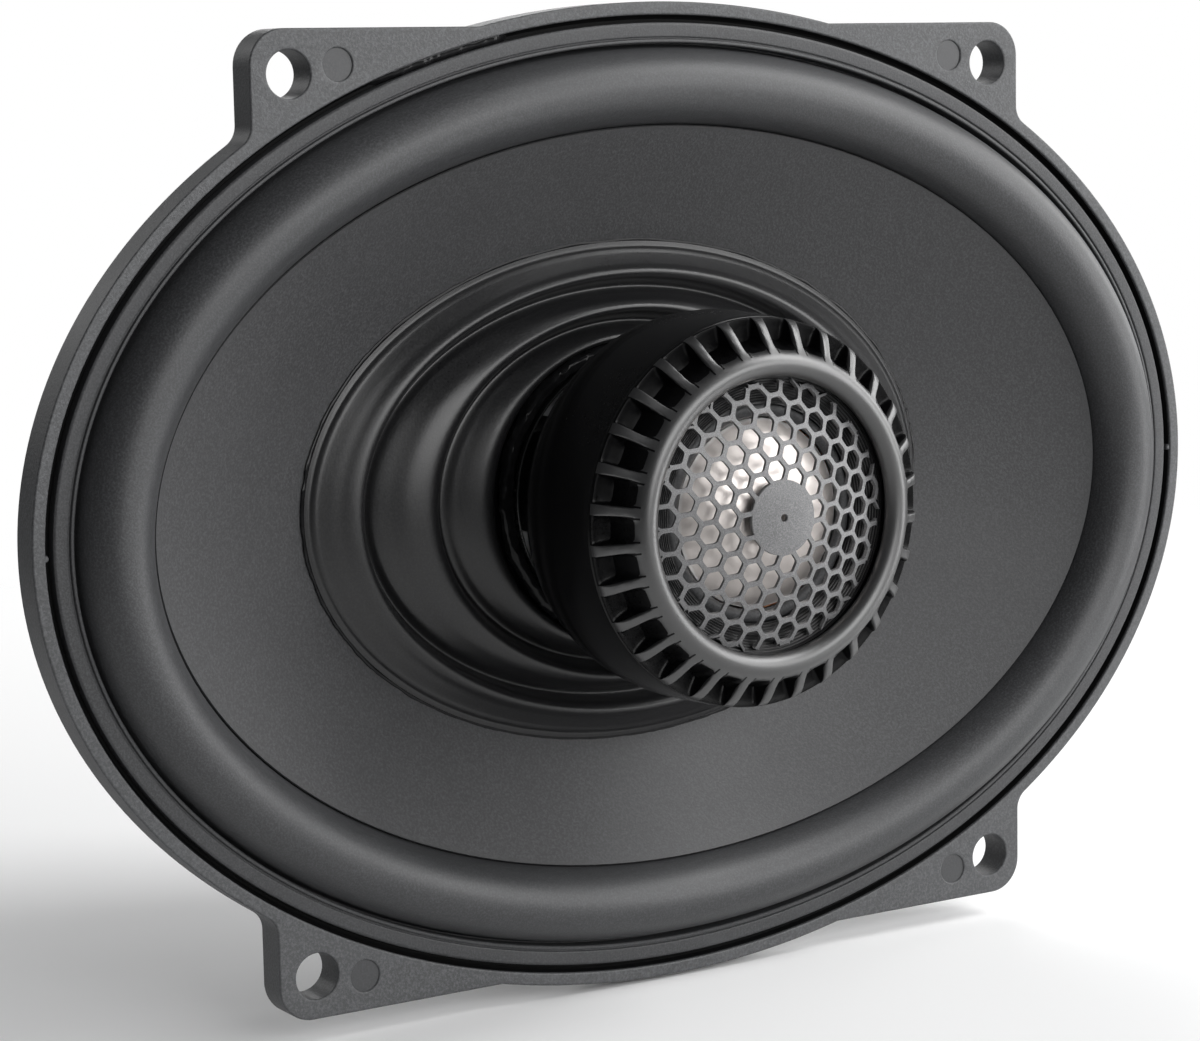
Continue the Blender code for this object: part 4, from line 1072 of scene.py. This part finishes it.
def make_dome():
    """Metal dome, its surround, former and winding."""
    base, rise, radius, wall = -21.0, 4.2, 12.4, 0.25
    sphere = (radius ** 2 + rise ** 2) / (2 * rise)
    spread = math.asin(radius / sphere)
    arcs = []
    for thickness in (0, wall):
        arcs.append([((sphere - thickness) * math.sin(spread * step / 24),
                      base - rise + sphere - (sphere - thickness) * math.cos(spread * step / 24))
                     for step in range(25)])
    turned("tweeter_dome", arcs[0][::-1] + arcs[1], DIAPHRAGM, DOME)
    angles = [math.pi * step / 12 for step in range(13)]
    outer = [(13.6 + 0.95 * math.cos(angle), -21.0 - 0.75 * math.sin(angle)) for angle in angles]
    under = [(13.6 + 0.75 * math.cos(angle), -20.9 - 0.55 * math.sin(angle)) for angle in reversed(angles)]
    outline = [(15.5, -20.65), (15.5, -20.9)] + outer + under
    made = turned("tweeter_dome_surround", outline, None, RUBBER)
    flexing(made, lambda point: (14.6 - math.hypot(point.x, point.z)) / 1.9)
    former = [(12.15, -16.6), (12.4, -16.6), (12.4, -20.5), (12.15, -20.5)]
    turned("tweeter_coil_former", former, DIAPHRAGM, ALUMINIUM)
    coil = [(12.7, -17.4), (13.15, -17.4), (13.15, -20.0), (12.7, -20.0)]
    turned("tweeter_voice_coil", coil, DIAPHRAGM, COPPER, bevel=0.1)


def make_tweeter_motor():
    """Cup, magnet, pole piece and damping felt."""
    cup = [(0, -10.0), (15.2, -10.0), (16.1, -10.8), (16.1, -20.3), (13.5, -20.3), (13.5, -12.6), (0, -12.6)]
    turned("tweeter_cup", cup, BODY, STEEL, bevel=0.2)
    magnet = [(0, -12.9), (11.0, -12.9), (11.0, -17.2), (0, -17.2)]
    turned("tweeter_magnet", magnet, BODY, NICKEL, bevel=0.3)
    plate = [(0, -17.5), (11.85, -17.5), (11.85, -20.0), (0, -20.0)]
    turned("tweeter_top_plate", plate, BODY, STEEL, bevel=0.15)
    pad = [(0, -20.3), (9.0, -20.3), (8.8, -21.3), (8.2, -21.9), (0, -22.0)]
    turned("tweeter_damping_pad", pad, BODY, FELT)


# ---- studio

CAMERA_YAW, CAMERA_PITCH, CAMERA_ROLL = 31.875, 7.726, -1.127
CAMERA_OFFSET = (9.351, -3.153, 437.149)
LENS = 96.49


def add_camera():
    """The photograph's viewpoint: its turn, and the front frame's origin as it sees it."""
    turn = (Matrix.Rotation(math.radians(CAMERA_ROLL), 3, "Z")
            @ Matrix.Rotation(math.radians(CAMERA_PITCH), 3, "X")
            @ Matrix.Rotation(-math.radians(CAMERA_YAW), 3, "Y"))
    place = -(turn.transposed() @ Vector(CAMERA_OFFSET))
    facing = turn.transposed() @ Matrix.Diagonal((1, -1, -1))
    world = (TO_ROW.to_3x3().normalized() @ facing).to_4x4()
    world.translation = TO_ROW @ place
    data = bpy.data.cameras.new("camera")
    data.lens = LENS
    data.sensor_width = 36
    data.clip_start = 0.01
    camera = add_object("camera", data)
    camera.matrix_world = world
    bpy.context.scene.camera = camera


LIGHT_DISTANCE = 1.1
LIGHT_SIZE = 0.55
SOFTBOXES = {
    "key": (60, 45, 8.1), "right": (60, 15, 4.8), "low_right": (60, -15, 5.5), "front": (0, 15, 4.9),
    "front_right": (30, 15, 3.8), "side": (100, 15, 4.0), "back_right": (150, 30, 3.6),
    "back_left": (-150, 30, 2.8),
}
FLOOR_RADIUS = 3.0
FLOOR_GAP = 0.5


def add_softbox(name, turn, rise, power):
    """A square soft light: degrees to the right of the front, degrees up, and watts."""
    turn, rise = math.radians(turn), math.radians(rise)
    place = Vector((math.sin(turn) * math.cos(rise), -math.cos(turn) * math.cos(rise), math.sin(rise)))
    data = bpy.data.lights.new(name, "AREA")
    data.shape = "SQUARE"
    data.size = LIGHT_SIZE
    data.energy = power
    light = add_object(name, data)
    light.location = place * LIGHT_DISTANCE
    light.rotation_euler = (-place).to_track_quat("-Z", "Y").to_euler()


def add_floor():
    """Pale round floor that fades out into the backdrop."""
    bm = bmesh.new()
    bmesh.ops.create_circle(bm, cap_ends=True, segments=96, radius=FLOOR_RADIUS)
    mesh = bpy.data.meshes.new("floor")
    bm.to_mesh(mesh)
    bm.free()
    nodes = Nodes("floor")
    nodes.set(Base_Color=(0.9, 0.9, 0.9, 1), Roughness=0.9)
    distance = nodes.add("VectorMath", {0: nodes.place}, operation="LENGTH").outputs["Value"]
    clear = nodes.add("BsdfTransparent").outputs["BSDF"]
    fade = nodes.ramp(distance, 0.12, 0.5)
    blend = nodes.add("MixShader", {"Fac": fade, 1: nodes.shader.outputs["BSDF"], 2: clear})
    nodes.join(blend.outputs["Shader"], nodes.tree.nodes["Material Output"].inputs["Surface"])
    mesh.materials.append(nodes.material)
    floor = add_object("floor", mesh)
    floor.location = (0, 0, CAD_BOX[0].z - FLOOR_GAP * MM)


def add_surroundings():
    """White backdrop for the camera, and a dim grey room for reflections."""
    world = bpy.data.worlds.new("studio")
    world.use_nodes = True
    tree = world.node_tree
    path = tree.nodes.new("ShaderNodeLightPath")
    blend = tree.nodes.new("ShaderNodeMixShader")
    tree.links.new(path.outputs["Is Camera Ray"], blend.inputs["Fac"])
    for socket, node, colour, strength in (
            (1, tree.nodes["Background"], (0.95, 0.97, 1.0, 1), 0.1),
            (2, tree.nodes.new("ShaderNodeBackground"), (1, 1, 1, 1), 1.0)):
        node.inputs["Color"].default_value = colour
        node.inputs["Strength"].default_value = strength
        tree.links.new(node.outputs["Background"], blend.inputs[socket])
    tree.links.new(blend.outputs["Shader"], tree.nodes["World Output"].inputs["Surface"])
    bpy.context.scene.world = world


def add_studio():
    """Camera, floor, backdrop and soft lights."""
    add_camera()
    add_floor()
    add_surroundings()
    for name, (turn, rise, power) in SOFTBOXES.items():
        add_softbox(name, turn, rise, power)


bpy.context.scene.view_settings.view_transform = "Standard"
add_studio()
make_basket()
make_trim_ring()
make_seat_glue()
make_surround()
make_cone()
make_centre()
make_neck()
make_spider()
make_motor()
make_terminals()
make_wires()
make_post()
make_housing()
make_bezel()
make_screen()
make_waveguide()
make_dome()
make_tweeter_motor()
